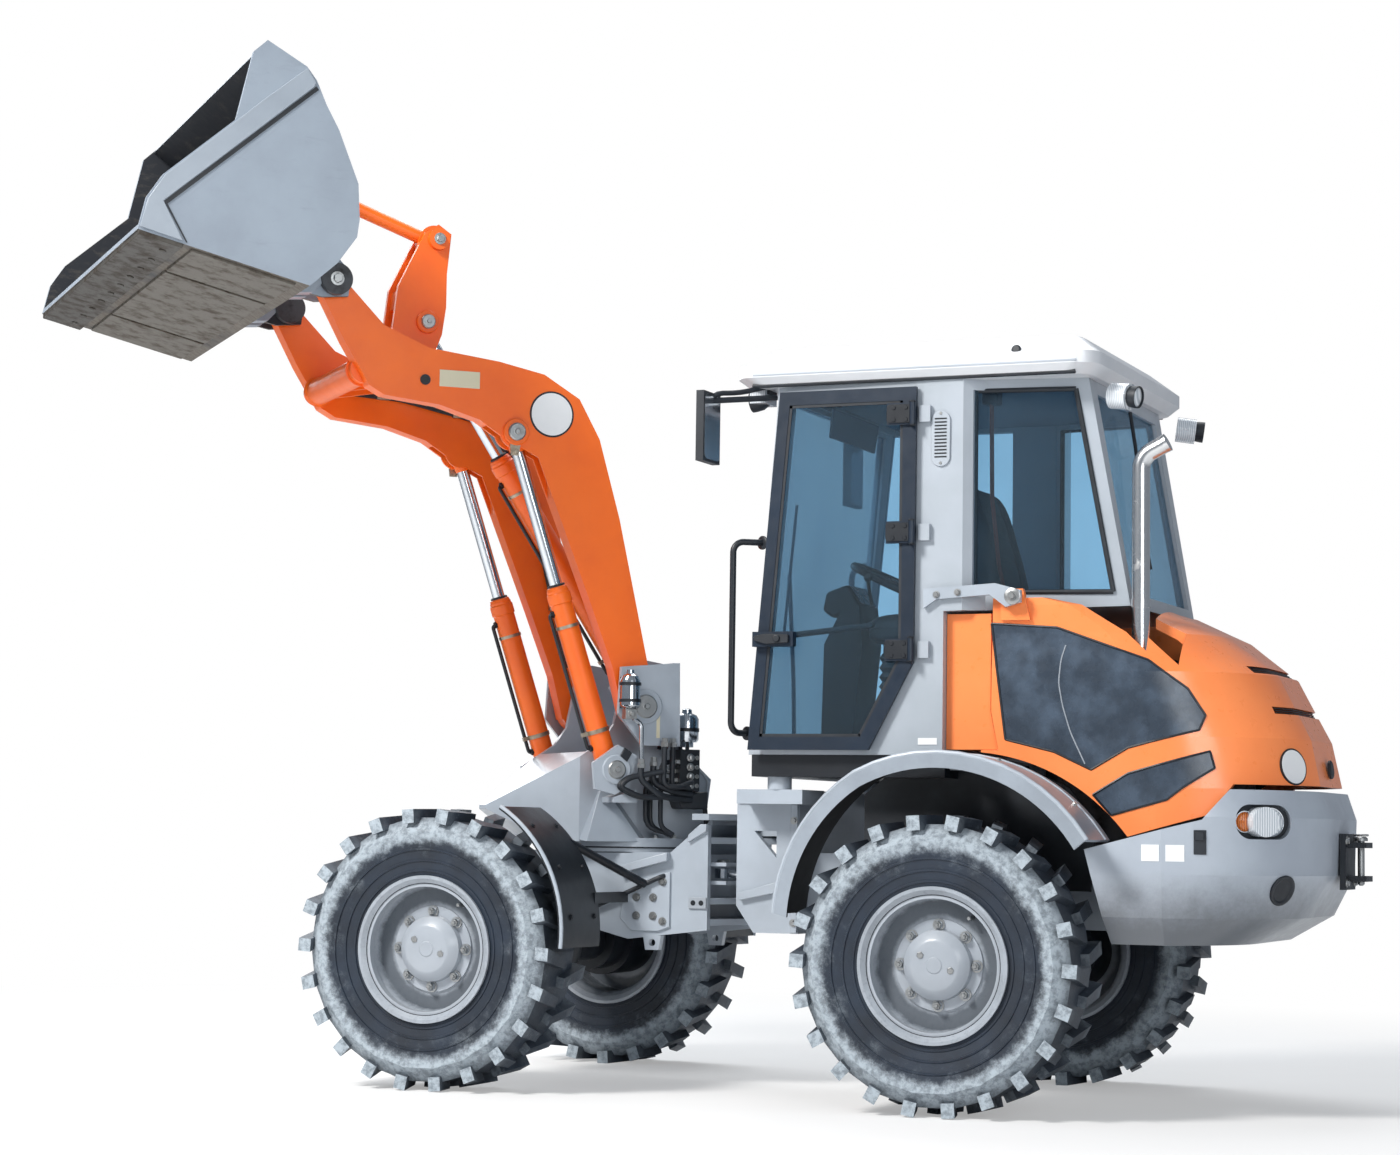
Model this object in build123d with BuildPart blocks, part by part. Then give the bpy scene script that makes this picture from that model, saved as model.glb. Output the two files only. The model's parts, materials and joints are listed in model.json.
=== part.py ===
from build123d import *
import math
import os

# Swing wheel loader, in millimetres. Origin on the ground below the rear axle's middle,
# +X forward, +Y to the machine's left, +Z up. The lift tower stands swung to the left.

os.makedirs("parts", exist_ok=True)

# Driving dimensions
WHEELBASE = 1990
TRACK = 1620
TYRE_RADIUS = 522
TYRE_WIDTH = 330
RIM_RADIUS = 274
HUB_HEIGHT = TYRE_RADIUS
LUGS = 22
PIVOT_X = 995
SLEW_X = 1605
SLEW_DEG = 45
CAB_HALF_WIDTH = 620
WALL = 40
ARM_CENTRE = 350
ARM_THICKNESS = 76
BUCKET_HALF_WIDTH = 960
BUCKET_SHEET = 18

# Pins of the lift gear in the swung tower's own plane: forward of the slew axis, height
BOOM_PIVOT = (90, 1450)
LIFT_BASE = (205, 1205)
LIFT_EYE = (622, 2484)
BUCKET_PIVOT = (1352, 3008)
LEVER_PIVOT = (955, 2746)
LEVER_EYE = (891, 2936)
LEVER_TOP = (853, 3265)
BUCKET_LINK_PIN = (1355, 3441)
TILT_BASE = (-20, 1540)

# Pins of the steering cylinders: along the machine, width, height
STEER_BASE = (430, 235, 815)
STEER_EYE = (1100, 200, 815)

# Hinges of the hood, along and up, and of the door, along and across
HOOD_PIVOT = (-186, 1828)
DOOR_HINGE = (190, 660)

SLEW = math.radians(SLEW_DEG)
ARM_DIRECTION = (math.cos(SLEW), math.sin(SLEW), 0)
ARM_RIGHT = (math.sin(SLEW), -math.cos(SLEW), 0)


def machine_plane(y):
    """A plane along the machine at one width, its sketch axes +X and +Z, facing right."""
    return Plane.XZ.offset(-y)


def tower_point(forward, left, height):
    """A point of the swung tower in machine axes."""
    x = SLEW_X + forward * math.cos(SLEW) - left * math.sin(SLEW)
    y = forward * math.sin(SLEW) + left * math.cos(SLEW)
    return (x, y, height)


def tower_plane(left):
    """A plane along the swung tower at one width, its sketch axes forward and up, facing right."""
    return Plane(origin=tower_point(0, left, 0), x_dir=ARM_DIRECTION, z_dir=ARM_RIGHT)


def plate(outline, low, high, plane=machine_plane, holes=()):
    """A plate of a closed outline of (along, up) points between two widths, with round holes."""
    with BuildPart() as made:
        with BuildSketch(plane(high)):
            with BuildLine():
                Polyline(*outline, close=True)
            make_face()
            for centre, radius in holes:
                with Locations(centre):
                    Circle(radius, mode=Mode.SUBTRACT)
        extrude(amount=high - low)
    return made.part


def slab(outline, low, high):
    """A level plate of a closed outline of (x, y) points between two heights."""
    with BuildPart() as made:
        with BuildSketch(Plane.XY.offset(low)):
            with BuildLine():
                Polyline(*outline, close=True)
            make_face()
        extrude(amount=high - low)
    return made.part


def boss(centre, radius, low, high, plane=machine_plane, bore=0.0):
    """A round boss, pin or ring across the machine or tower, at an (along, up) centre."""
    with BuildPart() as made:
        with BuildSketch(plane(high)):
            with Locations(centre):
                Circle(radius)
                if bore:
                    Circle(bore, mode=Mode.SUBTRACT)
        extrude(amount=high - low)
    return made.part


def post(centre, radius, low, high, bore=0.0):
    """An upright round boss, pin or ring at an (x, y) centre between two heights."""
    with BuildPart() as made:
        with BuildSketch(Plane.XY.offset(low)):
            with Locations(centre):
                Circle(radius)
                if bore:
                    Circle(bore, mode=Mode.SUBTRACT)
        extrude(amount=high - low)
    return made.part


def bar(start, end, radius):
    """A round bar between two points in machine axes."""
    reach = Vector(*end) - Vector(*start)
    with BuildPart() as made:
        with BuildSketch(Plane(origin=start, z_dir=reach)):
            Circle(radius)
        extrude(amount=reach.length)
    return made.part


def pipe(points, radius, bend):
    """A round pipe along points in machine axes, with bent corners."""
    with BuildPart() as made:
        with BuildLine() as route:
            FilletPolyline(*points, radius=bend)
        with BuildSketch(Plane(origin=points[0], z_dir=Vector(*points[1]) - Vector(*points[0]))):
            Circle(radius)
        sweep(path=route.wires()[0])
    return made.part


def block(low, high):
    """A box between two corners in machine axes."""
    size = [b - a for a, b in zip(low, high)]
    middle = [(a + b) / 2 for a, b in zip(low, high)]
    with BuildPart() as made:
        with Locations(tuple(middle)):
            Box(*size)
    return made.part


def both_sides(low, high):
    """The pair of width ranges, left and right, of a range given for the left."""
    return ((low, high), (-high, -low))


def along(start, end, distance):
    """The point at a distance from start towards end, in a plane's two coordinates."""
    length = math.dist(start, end)
    return tuple(a + (b - a) * distance / length for a, b in zip(start, end))


def save(name, part):
    """Label a finished piece and write its STEP file."""
    part.label = name
    export_step(part, f"parts/{name}.step")


# Wheels: a tyre with one flat per lug and staggered lugs, on a dished steel rim
BEAD_RADIUS = 257
CARCASS = (  # radius, offset from the tyre's middle
    (275, -138),
    (440, -162),
    (494, -118),
    (494, 118),
    (440, 162),
    (275, 138),
)
LUG_OUTLINE = ((-26, 4), (14, 4), (56, 165), (8, 165))  # around, outwards
LUG_DEPTH = 52

with BuildPart() as lug:
    with BuildSketch(Plane.XY.offset(TYRE_RADIUS - LUG_DEPTH)):
        with BuildLine():
            Polyline(*LUG_OUTLINE, close=True)
        make_face()
    extrude(amount=LUG_DEPTH)

with BuildPart() as inner_lug:
    add(lug.part)
    mirror(about=Plane.XZ, mode=Mode.REPLACE)

with BuildPart() as tyre:
    for radius, offset_y in CARCASS:
        with BuildSketch(machine_plane(offset_y)):
            RegularPolygon(radius=radius, side_count=LUGS)
    loft(ruled=True)
    with BuildSketch(machine_plane(TYRE_WIDTH / 2)):
        RegularPolygon(radius=BEAD_RADIUS, side_count=LUGS, major_radius=False)
    extrude(amount=TYRE_WIDTH, mode=Mode.SUBTRACT)
    with Locations([Location((0, 0, 0), (0, (i + 0.25) * 360 / LUGS, 0)) for i in range(LUGS)]):
        add(lug.part)
    with Locations([Location((0, 0, 0), (0, (i + 0.75) * 360 / LUGS, 0)) for i in range(LUGS)]):
        add(inner_lug.part)

RIM_PROFILE = (  # radius, offset outwards from the tyre's middle
    (RIM_RADIUS, 151), (RIM_RADIUS, 139), (255, 139), (255, 98), (236, 68), (236, -96),
    (255, -112), (255, -139), (RIM_RADIUS, -139), (RIM_RADIUS, -151), (262, -151), (243, -135),
    (224, -100), (224, 44), (0, 44), (0, 112), (74, 112), (92, 96), (96, 60), (224, 60),
    (243, 104), (243, 135), (262, 151),
)
STUD_CIRCLE = 140
STUD_COUNT = 8
STUD_RADIUS = 17

with BuildPart() as rim:
    with BuildSketch(Plane.XY):
        with BuildLine():
            Polyline(*RIM_PROFILE, close=True)
        make_face()
    revolve(axis=Axis.Y)
    with BuildSketch(machine_plane(60)):
        with PolarLocations(STUD_CIRCLE, STUD_COUNT):
            RegularPolygon(radius=STUD_RADIUS, side_count=6)
    extrude(amount=-22)

WHEELS = {  # name: axle's place along the machine, side
    "rear_left": (0, 1),
    "rear_right": (0, -1),
    "front_left": (WHEELBASE, 1),
    "front_right": (WHEELBASE, -1),
}
for wheel, (axle_x, side) in WHEELS.items():
    hub = Location((axle_x, side * TRACK / 2, HUB_HEIGHT))
    turn = Location((0, 0, 0), (0, 0, 0 if side > 0 else 180))
    save(f"tyre_{wheel}", (hub * turn) * tyre.part)
    save(f"rim_{wheel}", (hub * turn) * rim.part)

# Axles: a tube with a round housing and stepped hubs that reach into the rims
AXLE_STEPS = (  # radius, inner and outer width of one half
    (85, 0, 500),
    (125, 480, 620),
    (150, 610, TRACK / 2 + 43.7),
)
HOUSING_RADIUS = 185
PAD_HIGH = 640
for name, axle_x in (("rear_axle", 0), ("front_axle", WHEELBASE)):
    with BuildPart() as axle:
        for radius, low, high in AXLE_STEPS:
            for near, far in both_sides(low, high):
                add(boss((axle_x, HUB_HEIGHT), radius, near, far))
        with Locations((axle_x, 0, HUB_HEIGHT)):
            Sphere(HOUSING_RADIUS)
        add(block((axle_x - 100, -345, HUB_HEIGHT + 40), (axle_x + 100, 345, PAD_HIGH)))
    save(name, axle.part)

# Rear frame: two rails, cheeks that carry the cab, and the tongues of the articulation
RAIL_HALF = 300
STEEL = 30
RAIL = ((-940, 660), (-700, PAD_HIGH), (700, PAD_HIGH), (700, 900), (-940, 900))
CHEEK = ((700, 600), (880, 600), (950, 700), (950, 1133), (700, 1133))
CHEEK_WINDOW = ((790, 880), (880, 980), (790, 980))
CHEEK_HALF = 400
TONGUE = ((690, 150), (PIVOT_X, 78), (PIVOT_X + 68, 34), (PIVOT_X + 68, -34), (PIVOT_X, -78), (690, -150))
TONGUES = ((960, 1010), (650, 690))  # lower and upper face of each tongue
PIVOT_PIN = 35
with BuildPart() as rear_frame:
    for low, high in both_sides(RAIL_HALF, RAIL_HALF + STEEL):
        add(plate(RAIL, low, high))
    for low, high in both_sides(CHEEK_HALF, CHEEK_HALF + STEEL):
        add(plate(CHEEK, low, high))
        add(plate(CHEEK_WINDOW, low - 1, high + 1), mode=Mode.SUBTRACT)
    add(block((700, -CHEEK_HALF - STEEL, 600), (730, CHEEK_HALF + STEEL, 1133)))
    for low, high in both_sides(150, 290):
        add(block((690, low, 765), (740, high, 865)), mode=Mode.SUBTRACT)
    add(block((330, -RAIL_HALF, 700), (360, RAIL_HALF, 880)))
    for low, high in TONGUES:
        add(slab(TONGUE, low, high))
        add(post((PIVOT_X, 0), PIVOT_PIN + 1, low - 1, high + 1), mode=Mode.SUBTRACT)
    for low, high in both_sides(STEER_BASE[1] - 45, RAIL_HALF):
        for bottom, top in ((STEER_BASE[2] - 40, STEER_BASE[2] - 25), (STEER_BASE[2] + 25, STEER_BASE[2] + 40)):
            add(block((395, low, bottom), (458, high, top)))
    for side in (-1, 1):
        centre = (STEER_BASE[0], side * STEER_BASE[1])
        add(post(centre, 20, STEER_BASE[2] - 40, STEER_BASE[2] + 40))
        add(block((640, min(side * 330, side * 560), 1080), (900, max(side * 330, side * 560), 1133)))
        add(post((745, side * 520), 45, 1133, 1180))
        add(post((110, side * 315), 40, 890, 1180))
        add(block((-30, min(side * 300, side * 330), 890), (30, max(side * 300, side * 330), 1205)))
save("rear_frame", rear_frame.part)

# Front frame: two side plates, the forks of the articulation and the slew ring's seat
FRONT_SIDE = (
    (1110, 600), (1440, 560), (1760, PAD_HIGH), (2240, PAD_HIGH), (2240, 790), (1990, 888),
    (1270, 888), (1136, 1000), (1110, 1000),
)
FORK = (
    (1190, 300), (1120, 300), (PIVOT_X, 105), (PIVOT_X - 72, 50), (PIVOT_X - 72, -50), (PIVOT_X, -105),
    (1120, -300), (1190, -300),
)
FORKS = ((1018, 1042), (928, 952), (698, 722), (618, 642))  # lower and upper face of each plate
DECK_HIGH = 892
RING_RADIUS = 345
TOW_EYE = (1337, 560)
with BuildPart() as front_frame:
    for low, high in both_sides(RAIL_HALF, RAIL_HALF + STEEL):
        add(plate(FRONT_SIDE, low, high))
        add(plate(((1300, 575), (1310, 520), (1365, 520), (1375, 575)), low, high, holes=[((1337, 548), 14)]))
    add(block((1255, -RAIL_HALF, 862), (1990, RAIL_HALF, DECK_HIGH)))
    add(block((1185, -RAIL_HALF, 610), (1210, RAIL_HALF, 885)))
    add(block((2210, -RAIL_HALF, PAD_HIGH), (2240, RAIL_HALF, 800)))
    add(plate(((1130, 1030), (1130, 1000), (1225, 870), (1256, 880)), -240, 240))
    for low, high in FORKS:
        add(slab(FORK, low, high))
    for low, high in ((929, 1041), (619, 721)):
        add(post((PIVOT_X, 0), PIVOT_PIN, low, high))
    for side in (-1, 1):
        near, far = sorted((side * 120, side * 290))
        for bottom, top in ((STEER_EYE[2] - 42, STEER_EYE[2] - 28), (STEER_EYE[2] + 28, STEER_EYE[2] + 42)):
            add(block((1050, near, bottom), (1190, far, top)))
    add(post((SLEW_X, 0), RING_RADIUS, DECK_HIGH, DECK_HIGH + 16))
save("front_frame", front_frame.part)

# Fenders: bent sheets over the tyres, with a turned-down outer lip
SHEET = 12
LIP = 55
REAR_ARCH = ((-545, 965), (-30, 1262), (300, 1190), (505, 985), (600, 690))
FRONT_ARCH = ((WHEELBASE - 305, 1056), (WHEELBASE - 470, 900), (WHEELBASE - 560, 540))
FENDER_INNER = 640
FENDER_OUTER = 945


def inset(points, centre, distance):
    """Move points towards a centre by a distance."""
    return [along(point, centre, distance) for point in points]


def rear_arch(depth, low, high):
    """A rear fender's arch, thickened inwards by a depth, between two widths."""
    outer = REAR_ARCH
    inner = inset(REAR_ARCH, (0, HUB_HEIGHT), depth)
    with BuildPart() as made:
        with BuildSketch(machine_plane(high)):
            with BuildLine():
                ThreePointArc(outer[0], outer[1], outer[2])
                ThreePointArc(outer[2], outer[3], outer[4])
                Line(outer[4], inner[4])
                ThreePointArc(inner[4], inner[3], inner[2])
                ThreePointArc(inner[2], inner[1], inner[0])
                Line(inner[0], outer[0])
            make_face()
        extrude(amount=high - low)
    return made.part


with BuildPart() as rear_fenders:
    for low, high in both_sides(FENDER_INNER, FENDER_OUTER):
        add(rear_arch(SHEET, low, high))
    for low, high in both_sides(FENDER_OUTER - SHEET, FENDER_OUTER):
        add(rear_arch(LIP, low, high))
    for low, high in both_sides(RAIL_HALF, FENDER_INNER + 40):
        add(block((-30, low, 1205), (30, high, 1254)))
save("rear_fenders", rear_fenders.part)

with BuildPart() as front_fenders:
    for low, high in both_sides(610, 950):
        with BuildSketch(machine_plane(high)):
            inner = inset(FRONT_ARCH, (WHEELBASE, HUB_HEIGHT), SHEET)
            with BuildLine():
                ThreePointArc(*FRONT_ARCH)
                Line(FRONT_ARCH[2], inner[2])
                ThreePointArc(inner[2], inner[1], inner[0])
                Line(inner[0], FRONT_ARCH[0])
            make_face()
        extrude(amount=high - low)
    for low, high in both_sides(RAIL_HALF + STEEL, 640):
        add(plate(((1436, 700), (1436, 740), (1466, 740), (1466, 700)), low, high))
save("front_fenders", front_fenders.part)

# Rounded tail pieces are lofts of level outlines: straight sides, a front line and a rounded rear


def tail_loft(sections, front, wall=0.0):
    """A loft of level outlines, flat in front and rounded behind, drawn in by a wall."""
    with BuildPart() as made:
        for height, straight, rear, half, flat in sections:
            with BuildSketch(Plane.XY.offset(height - wall)):
                side = half - wall
                end = rear + wall
                shoulder = straight + (end - straight) * 0.68
                with BuildLine():
                    Line((front, side), (straight, side))
                    ThreePointArc((straight, side), (shoulder, side * 0.76), (end, flat))
                    Line((end, flat), (end, -flat))
                    ThreePointArc((end, -flat), (shoulder, -side * 0.76), (straight, -side))
                    Line((straight, -side), (front, -side))
                    Line((front, -side), (front, side))
                make_face()
        loft(ruled=True)
    return made.part


COUNTERWEIGHT = (  # height, end of the straight side, rear, half width, half of the flat rear
    (606, -760, -980, 715, 250),
    (700, -760, -1150, 750, 220),
    (850, -760, -1232, 762, 200),
    (1050, -760, -1240, 762, 200),
    (1146, -780, -1205, 742, 200),
)
with BuildPart() as counterweight:
    add(tail_loft(COUNTERWEIGHT, -470))
    add(plate(((-400, 500), (-577, 590), (-486, 932), (-892, 1040), (-1015, 1200), (-400, 1200)), -800, 800), mode=Mode.SUBTRACT)
    add(block((-945, -345, 500), (-400, 345, 1200)), mode=Mode.SUBTRACT)
    for side in (-1, 1):
        facing = Plane(origin=(-1085, side * 590, 1035), x_dir=(side * 0.75, -0.66, 0), z_dir=(-0.66, -side * 0.75 * -1, 0))
        with BuildSketch(facing.offset(-60)):
            SlotOverall(230, 120)
        extrude(amount=200, mode=Mode.SUBTRACT)
save("counterweight", counterweight.part)

with BuildPart() as engine:
    add(block((-860, -260, 740), (-200, 260, 1480)))
save("engine_block", engine.part)

# Hood: a shell lofted the same way, open over the cab's overhang, with dark side panels
HOOD = (  # height, end of the straight side, rear, half width, half of the flat rear
    (900, -700, -1212, 600, 200),
    (1150, -700, -1198, 602, 200),
    (1330, -680, -1160, 602, 190),
    (1560, -620, -1040, 596, 170),
    (1700, -520, -860, 586, 140),
    (1800, -380, -640, 586, 120),
    (1826, -280, -420, 584, 100),
)
HOOD_WALL = 22
ARCH_GAP = 752
SIDE_PANEL = (
    (-92, 1735), (-335, 1718), (-664, 1601), (-800, 1500), (-861, 1406), (-843, 1354), (-600, 1290),
    (-466, 1212), (-330, 1275), (-151, 1318),
)
LOWER_PANEL = ((-473, 1124), (-600, 1200), (-880, 1280), (-896, 1221), (-790, 1150), (-737, 1108), (-539, 1052))
hood_outer = tail_loft(HOOD, -60)
hood_inner = tail_loft(HOOD, 0, HOOD_WALL)
with BuildPart() as hood:
    add(hood_outer)
    add(hood_inner, mode=Mode.SUBTRACT)
    add(plate(((0, 1900), (-96, 1900), (-96, 1420), (-124, 1280), (0, 1280)), -700, 700), mode=Mode.SUBTRACT)
    add(boss((0, HUB_HEIGHT), ARCH_GAP, -700, 700), mode=Mode.SUBTRACT)
    below = ((-300, 800), (-300, 935), (-486, 946), (-880, 1059), (-955, 1166), (-1300, 1166), (-1300, 800))
    add(plate(below, -700, 700), mode=Mode.SUBTRACT)
    add(block((-655, -566, 1500), (0, 566, 1900)), mode=Mode.SUBTRACT)
    add(block((-765, 430, 1500), (-600, 540, 1900)), mode=Mode.SUBTRACT)
    for low, high in both_sides(400, 700):
        add(plate(SIDE_PANEL, low, high), mode=Mode.SUBTRACT)
        add(plate(LOWER_PANEL, low, high), mode=Mode.SUBTRACT)
    for bottom, top, x in ((1565, 1590, -900), (1420, 1445, -1000)):
        add(block((x - 400, -330, bottom), (x, 330, top)), mode=Mode.SUBTRACT)
    for low, high in both_sides(578, 602):
        add(plate(((-130, 1745), (-130, 1830), (-160, 1858), (-212, 1858), (-240, 1745)), low, high))
    for low, high in both_sides(600, 641):
        add(boss(HOOD_PIVOT, 12, low, high))
save("hood", hood.part)

with BuildPart() as hood_panels:
    add(hood_outer)
    add(hood_inner, mode=Mode.SUBTRACT)
    with BuildSketch(machine_plane(700)):
        for outline in (SIDE_PANEL, LOWER_PANEL):
            with BuildLine():
                Polyline(*outline, close=True)
            make_face()
    extrude(amount=1400, mode=Mode.INTERSECT)
save("hood_panels", hood_panels.part)

ENGINE_PANEL = ((78, 1771), (-88, 1771), (-88, 1420), (-116, 1282), (78, 1282))
BRACKET = ((150, 1860), (-120, 1876), (-215, 1850), (-215, 1806), (-160, 1790), (-100, 1835), (100, 1822), (150, 1790))
with BuildPart() as engine_panels:
    for low, high in both_sides(556, 580):
        add(plate(ENGINE_PANEL, low, high))
    add(block((20, -560, 1282), (40, 560, 1330)))
save("engine_panels", engine_panels.part)

with BuildPart() as hood_brackets:
    for low, high in both_sides(621, 641):
        add(plate(BRACKET, low, high, holes=[(HOOD_PIVOT, 13)]))
save("hood_brackets", hood_brackets.part)

# Cab: a frame with its window openings, over a floor, under a roof
SILL = 1261
CAB_TOP = 2625
CAB_SIDE = ((850, SILL), (735, CAB_TOP), (-425, CAB_TOP), (-575, 1800), (80, 1780), (80, SILL))
CAB_INSIDE = ((802, SILL - 5), (685, CAB_TOP + 5), (-395, CAB_TOP + 5), (-532, 1835), (125, 1820), (125, SILL - 5))
CAB_PLAN = ((900, 560), (700, 608), (100, CAB_HALF_WIDTH), (10, CAB_HALF_WIDTH), (-60, 562), (-640, 470))
DOOR_HINGES = (1640, 2067, 2500)
DOOR_OPENING = ((815, 1297), (700, 2590), (190, 2590), (190, 1608), (365, 1297))
REAR_SIDE_WINDOW = ((-20, 1850), (-20, 2585), (-380, 2585), (-515, 1850))


def cab_hull(side, inset_y):
    """A cab-shaped solid of a side outline, its plan drawn in by a distance at each side."""
    plan = [(x, y - inset_y) for x, y in CAB_PLAN]
    mirrored = [(x, -y) for x, y in reversed(plan)]
    with BuildPart() as made:
        add(plate(side, -CAB_HALF_WIDTH, CAB_HALF_WIDTH))
        with BuildSketch(Plane.XY.offset(SILL - 20)):
            with BuildLine():
                Polyline(*plan, *mirrored, close=True)
            make_face()
        extrude(amount=CAB_TOP - SILL + 40, mode=Mode.INTERSECT)
    return made.part


with BuildPart() as cab_frame:
    add(cab_hull(CAB_SIDE, 0))
    add(cab_hull(CAB_INSIDE, WALL), mode=Mode.SUBTRACT)
    add(plate(DOOR_OPENING, -CAB_HALF_WIDTH - 5, CAB_HALF_WIDTH + 5), mode=Mode.SUBTRACT)
    add(plate(REAR_SIDE_WINDOW, -CAB_HALF_WIDTH - 5, CAB_HALF_WIDTH + 5), mode=Mode.SUBTRACT)
    add(plate(((650, 1320), (900, 1320), (900, 2575), (600, 2575)), -505, 505), mode=Mode.SUBTRACT)
    add(plate(((-350, 1850), (-700, 1850), (-700, 2575), (-250, 2575)), -420, 420), mode=Mode.SUBTRACT)
    for height in DOOR_HINGES:
        add(block((130, CAB_HALF_WIDTH - 4, height - 30), (172, DOOR_HINGE[1] - 20, height + 30)))
save("cab_frame", cab_frame.part)

# Panes follow the same hull, so each lies in its opening
PANE = 8
with BuildPart() as cab_glass:
    add(cab_hull(((832, SILL), (717, CAB_TOP), (-410, CAB_TOP), (-557, 1816), (96, 1796), (96, SILL)), 16))
    inner_side = ((824, SILL), (709, CAB_TOP), (-402, CAB_TOP), (-549, 1824), (104, 1804), (104, SILL))
    add(cab_hull(inner_side, 16 + PANE), mode=Mode.SUBTRACT)
    with BuildPart(mode=Mode.PRIVATE) as openings:
        add(plate(((650, 1320), (900, 1320), (900, 2575), (600, 2575)), -505, 505))
        add(plate(((-350, 1850), (-700, 1850), (-700, 2575), (-250, 2575)), -420, 420))
        for low, high in both_sides(430, 700):
            add(plate(REAR_SIDE_WINDOW, low, high))
        add(plate(DOOR_OPENING, -700, -540))
    add(openings.part, mode=Mode.INTERSECT)
save("cab_glass", cab_glass.part)

with BuildPart() as cab_floor:
    add(block((80, -590, 1180), (830, 590, SILL)))
save("cab_floor", cab_floor.part)

ROOF = (  # height, rear, front, half width
    (CAB_TOP, -455, 860, 625),
    (2660, -490, 905, 655),
    (2705, -490, 900, 655),
    (2775, -400, 800, 560),
    (2800, -250, 600, 400),
)
with BuildPart() as cab_roof:
    for height, rear, front, half in ROOF:
        with BuildSketch(Plane.XY.offset(height)):
            with Locations(((rear + front) / 2, 0)):
                RectangleRounded(front - rear, 2 * half, 90)
    loft(ruled=True)
save("cab_roof", cab_roof.part)

# Door on the left, hinged at its rear edge, its frame and pane slightly proud of the cab
DOOR_OUTLINE = ((826, 1277), (714, 2600), (182, 2600), (186, 1596), (356, 1277))
DOOR_PANE = ((780, 1325), (675, 2550), (232, 2550), (232, 1610), (385, 1325))
DOOR_LOW = CAB_HALF_WIDTH + 6
DOOR_HIGH = CAB_HALF_WIDTH + 26
with BuildPart() as door_frame:
    add(plate(DOOR_OUTLINE, DOOR_LOW, DOOR_HIGH))
    add(plate(DOOR_PANE, DOOR_LOW - 5, DOOR_HIGH + 5), mode=Mode.SUBTRACT)
    for height in DOOR_HINGES:
        add(block((192, DOOR_HIGH - 4, height - 40), (290, DOOR_HIGH + 12, height + 40)))
        add(post(DOOR_HINGE, 11, height - 40, height + 40))
    add(block((640, DOOR_HIGH - 4, 1655), (800, DOOR_HIGH + 30, 1710)))
save("door_frame", door_frame.part)
with BuildPart() as door_glass:
    add(plate(DOOR_PANE, DOOR_LOW + 6, DOOR_LOW + 14))
save("door_glass", door_glass.part)

# Cab's inside
with BuildPart() as seat:
    add(block((130, -240, 1690), (540, 240, 1790)))
    add(plate(((128, 1840), (218, 1790), (90, 2330), (10, 2330), (60, 1840)), -220, 220))
save("seat", seat.part)
with BuildPart() as seat_base:
    add(block((150, -190, SILL), (460, 190, 1690)))
save("seat_base", seat_base.part)
with BuildPart() as console:
    add(plate(((740, SILL), (620, SILL), (575, 1700), (590, 1850), (640, 1870), (730, 1700)), -110, 110))
save("console", console.part)
WHEEL_CENTRE = (470, 1930)
with BuildPart() as steering_wheel:
    with Locations(Location((WHEEL_CENTRE[0], 0, WHEEL_CENTRE[1]), (0, -25, 0))):
        Torus(185, 14)
        Cylinder(42, 26)
        for angle in (0, 120, 240):
            with Locations(Location((0, 0, 0), (0, 0, angle))):
                with Locations((95, 0, 0)):
                    Box(185, 26, 10)
save("steering_wheel", steering_wheel.part)

# Outside fittings of the rear half
with BuildPart() as exhaust:
    add(pipe(((-618, 500, 1400), (-618, 500, 2330), (-715, 500, 2380)), 32, 70))
save("exhaust", exhaust.part)

with BuildPart() as mirrors:
    for low, high in both_sides(700, 860):
        middle = (low + high) / 2
        add(block((930, low, 2330), (960, high, 2590)))
        add(bar((762, middle * 0.72, 2595), (945, middle, 2560), 11))
save("mirrors", mirrors.part)

with BuildPart() as lamps:
    for side in (-1, 1):
        add(block((800, side * 520 - 60, 2575), (862, side * 520 + 60, CAB_TOP)))
        add(bar((-505, side * 470, 2560), (-575, side * 490, 2550), 48))
        add(bar((-1040, side * 555, 1035), (-1090, side * 610, 1035), 52))
save("lamps", lamps.part)

with BuildPart() as handrails:
    for side in (-1, 1):
        add(pipe(((852, side * 560, 1340), (895, side * 640, 1340), (895, side * 640, 2050), (802, side * 565, 2050)), 12, 40))
    add(cab_frame.part, mode=Mode.SUBTRACT)
save("handrails", handrails.part)

HITCH_PIN = (-1300, 0)
HITCH_BORE = 15
with BuildPart() as tow_hitch:
    add(block((-1262, -90, 800), (-1240, 90, 1000)))
    for low, high in ((830, 850), (950, 970)):
        add(block((-1330, -60, low), (-1262, 60, high)))
        add(post(HITCH_PIN, HITCH_BORE, low - 1, high + 1), mode=Mode.SUBTRACT)
save("tow_hitch", tow_hitch.part)

# Lift tower on the slew ring
TOWER_LOW = DECK_HIGH + 20
TOWER_SIDE = (
    (-215, TOWER_LOW + 20), (-247, 1178), (-60, 1349), (-49, 1623), (56, 1640), (122, 1640),
    (135, 1527), (162, 1385), (212, 1314), (266, 1279), (300, 1257), (300, TOWER_LOW + 20),
)
NOSE_SIDE = ((230, 930), (230, 1215), (270, 1276), (598, 1066), (598, 1050), (400, 940), (380, 930))
NOSE_PLAN = ((200, -286), (300, -286), (598, -42), (598, 42), (300, 286), (200, 286))  # forward, left
LUG_SIDE = ((150, 1140), (120, 1260), (200, 1300), (300, 1230), (290, 1130), (210, 1110))
HEAD_SIDE = ((-55, 1300), (-50, 1622), (190, 1600), (200, 1420), (100, 1300))
BACK_SIDE = ((-215, 930), (-247, 1178), (-222, 1186), (-190, 930))
INNER = (262, 286)
OUTER = (412, 434)
TILT_CHEEKS = (70, 95)
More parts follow.
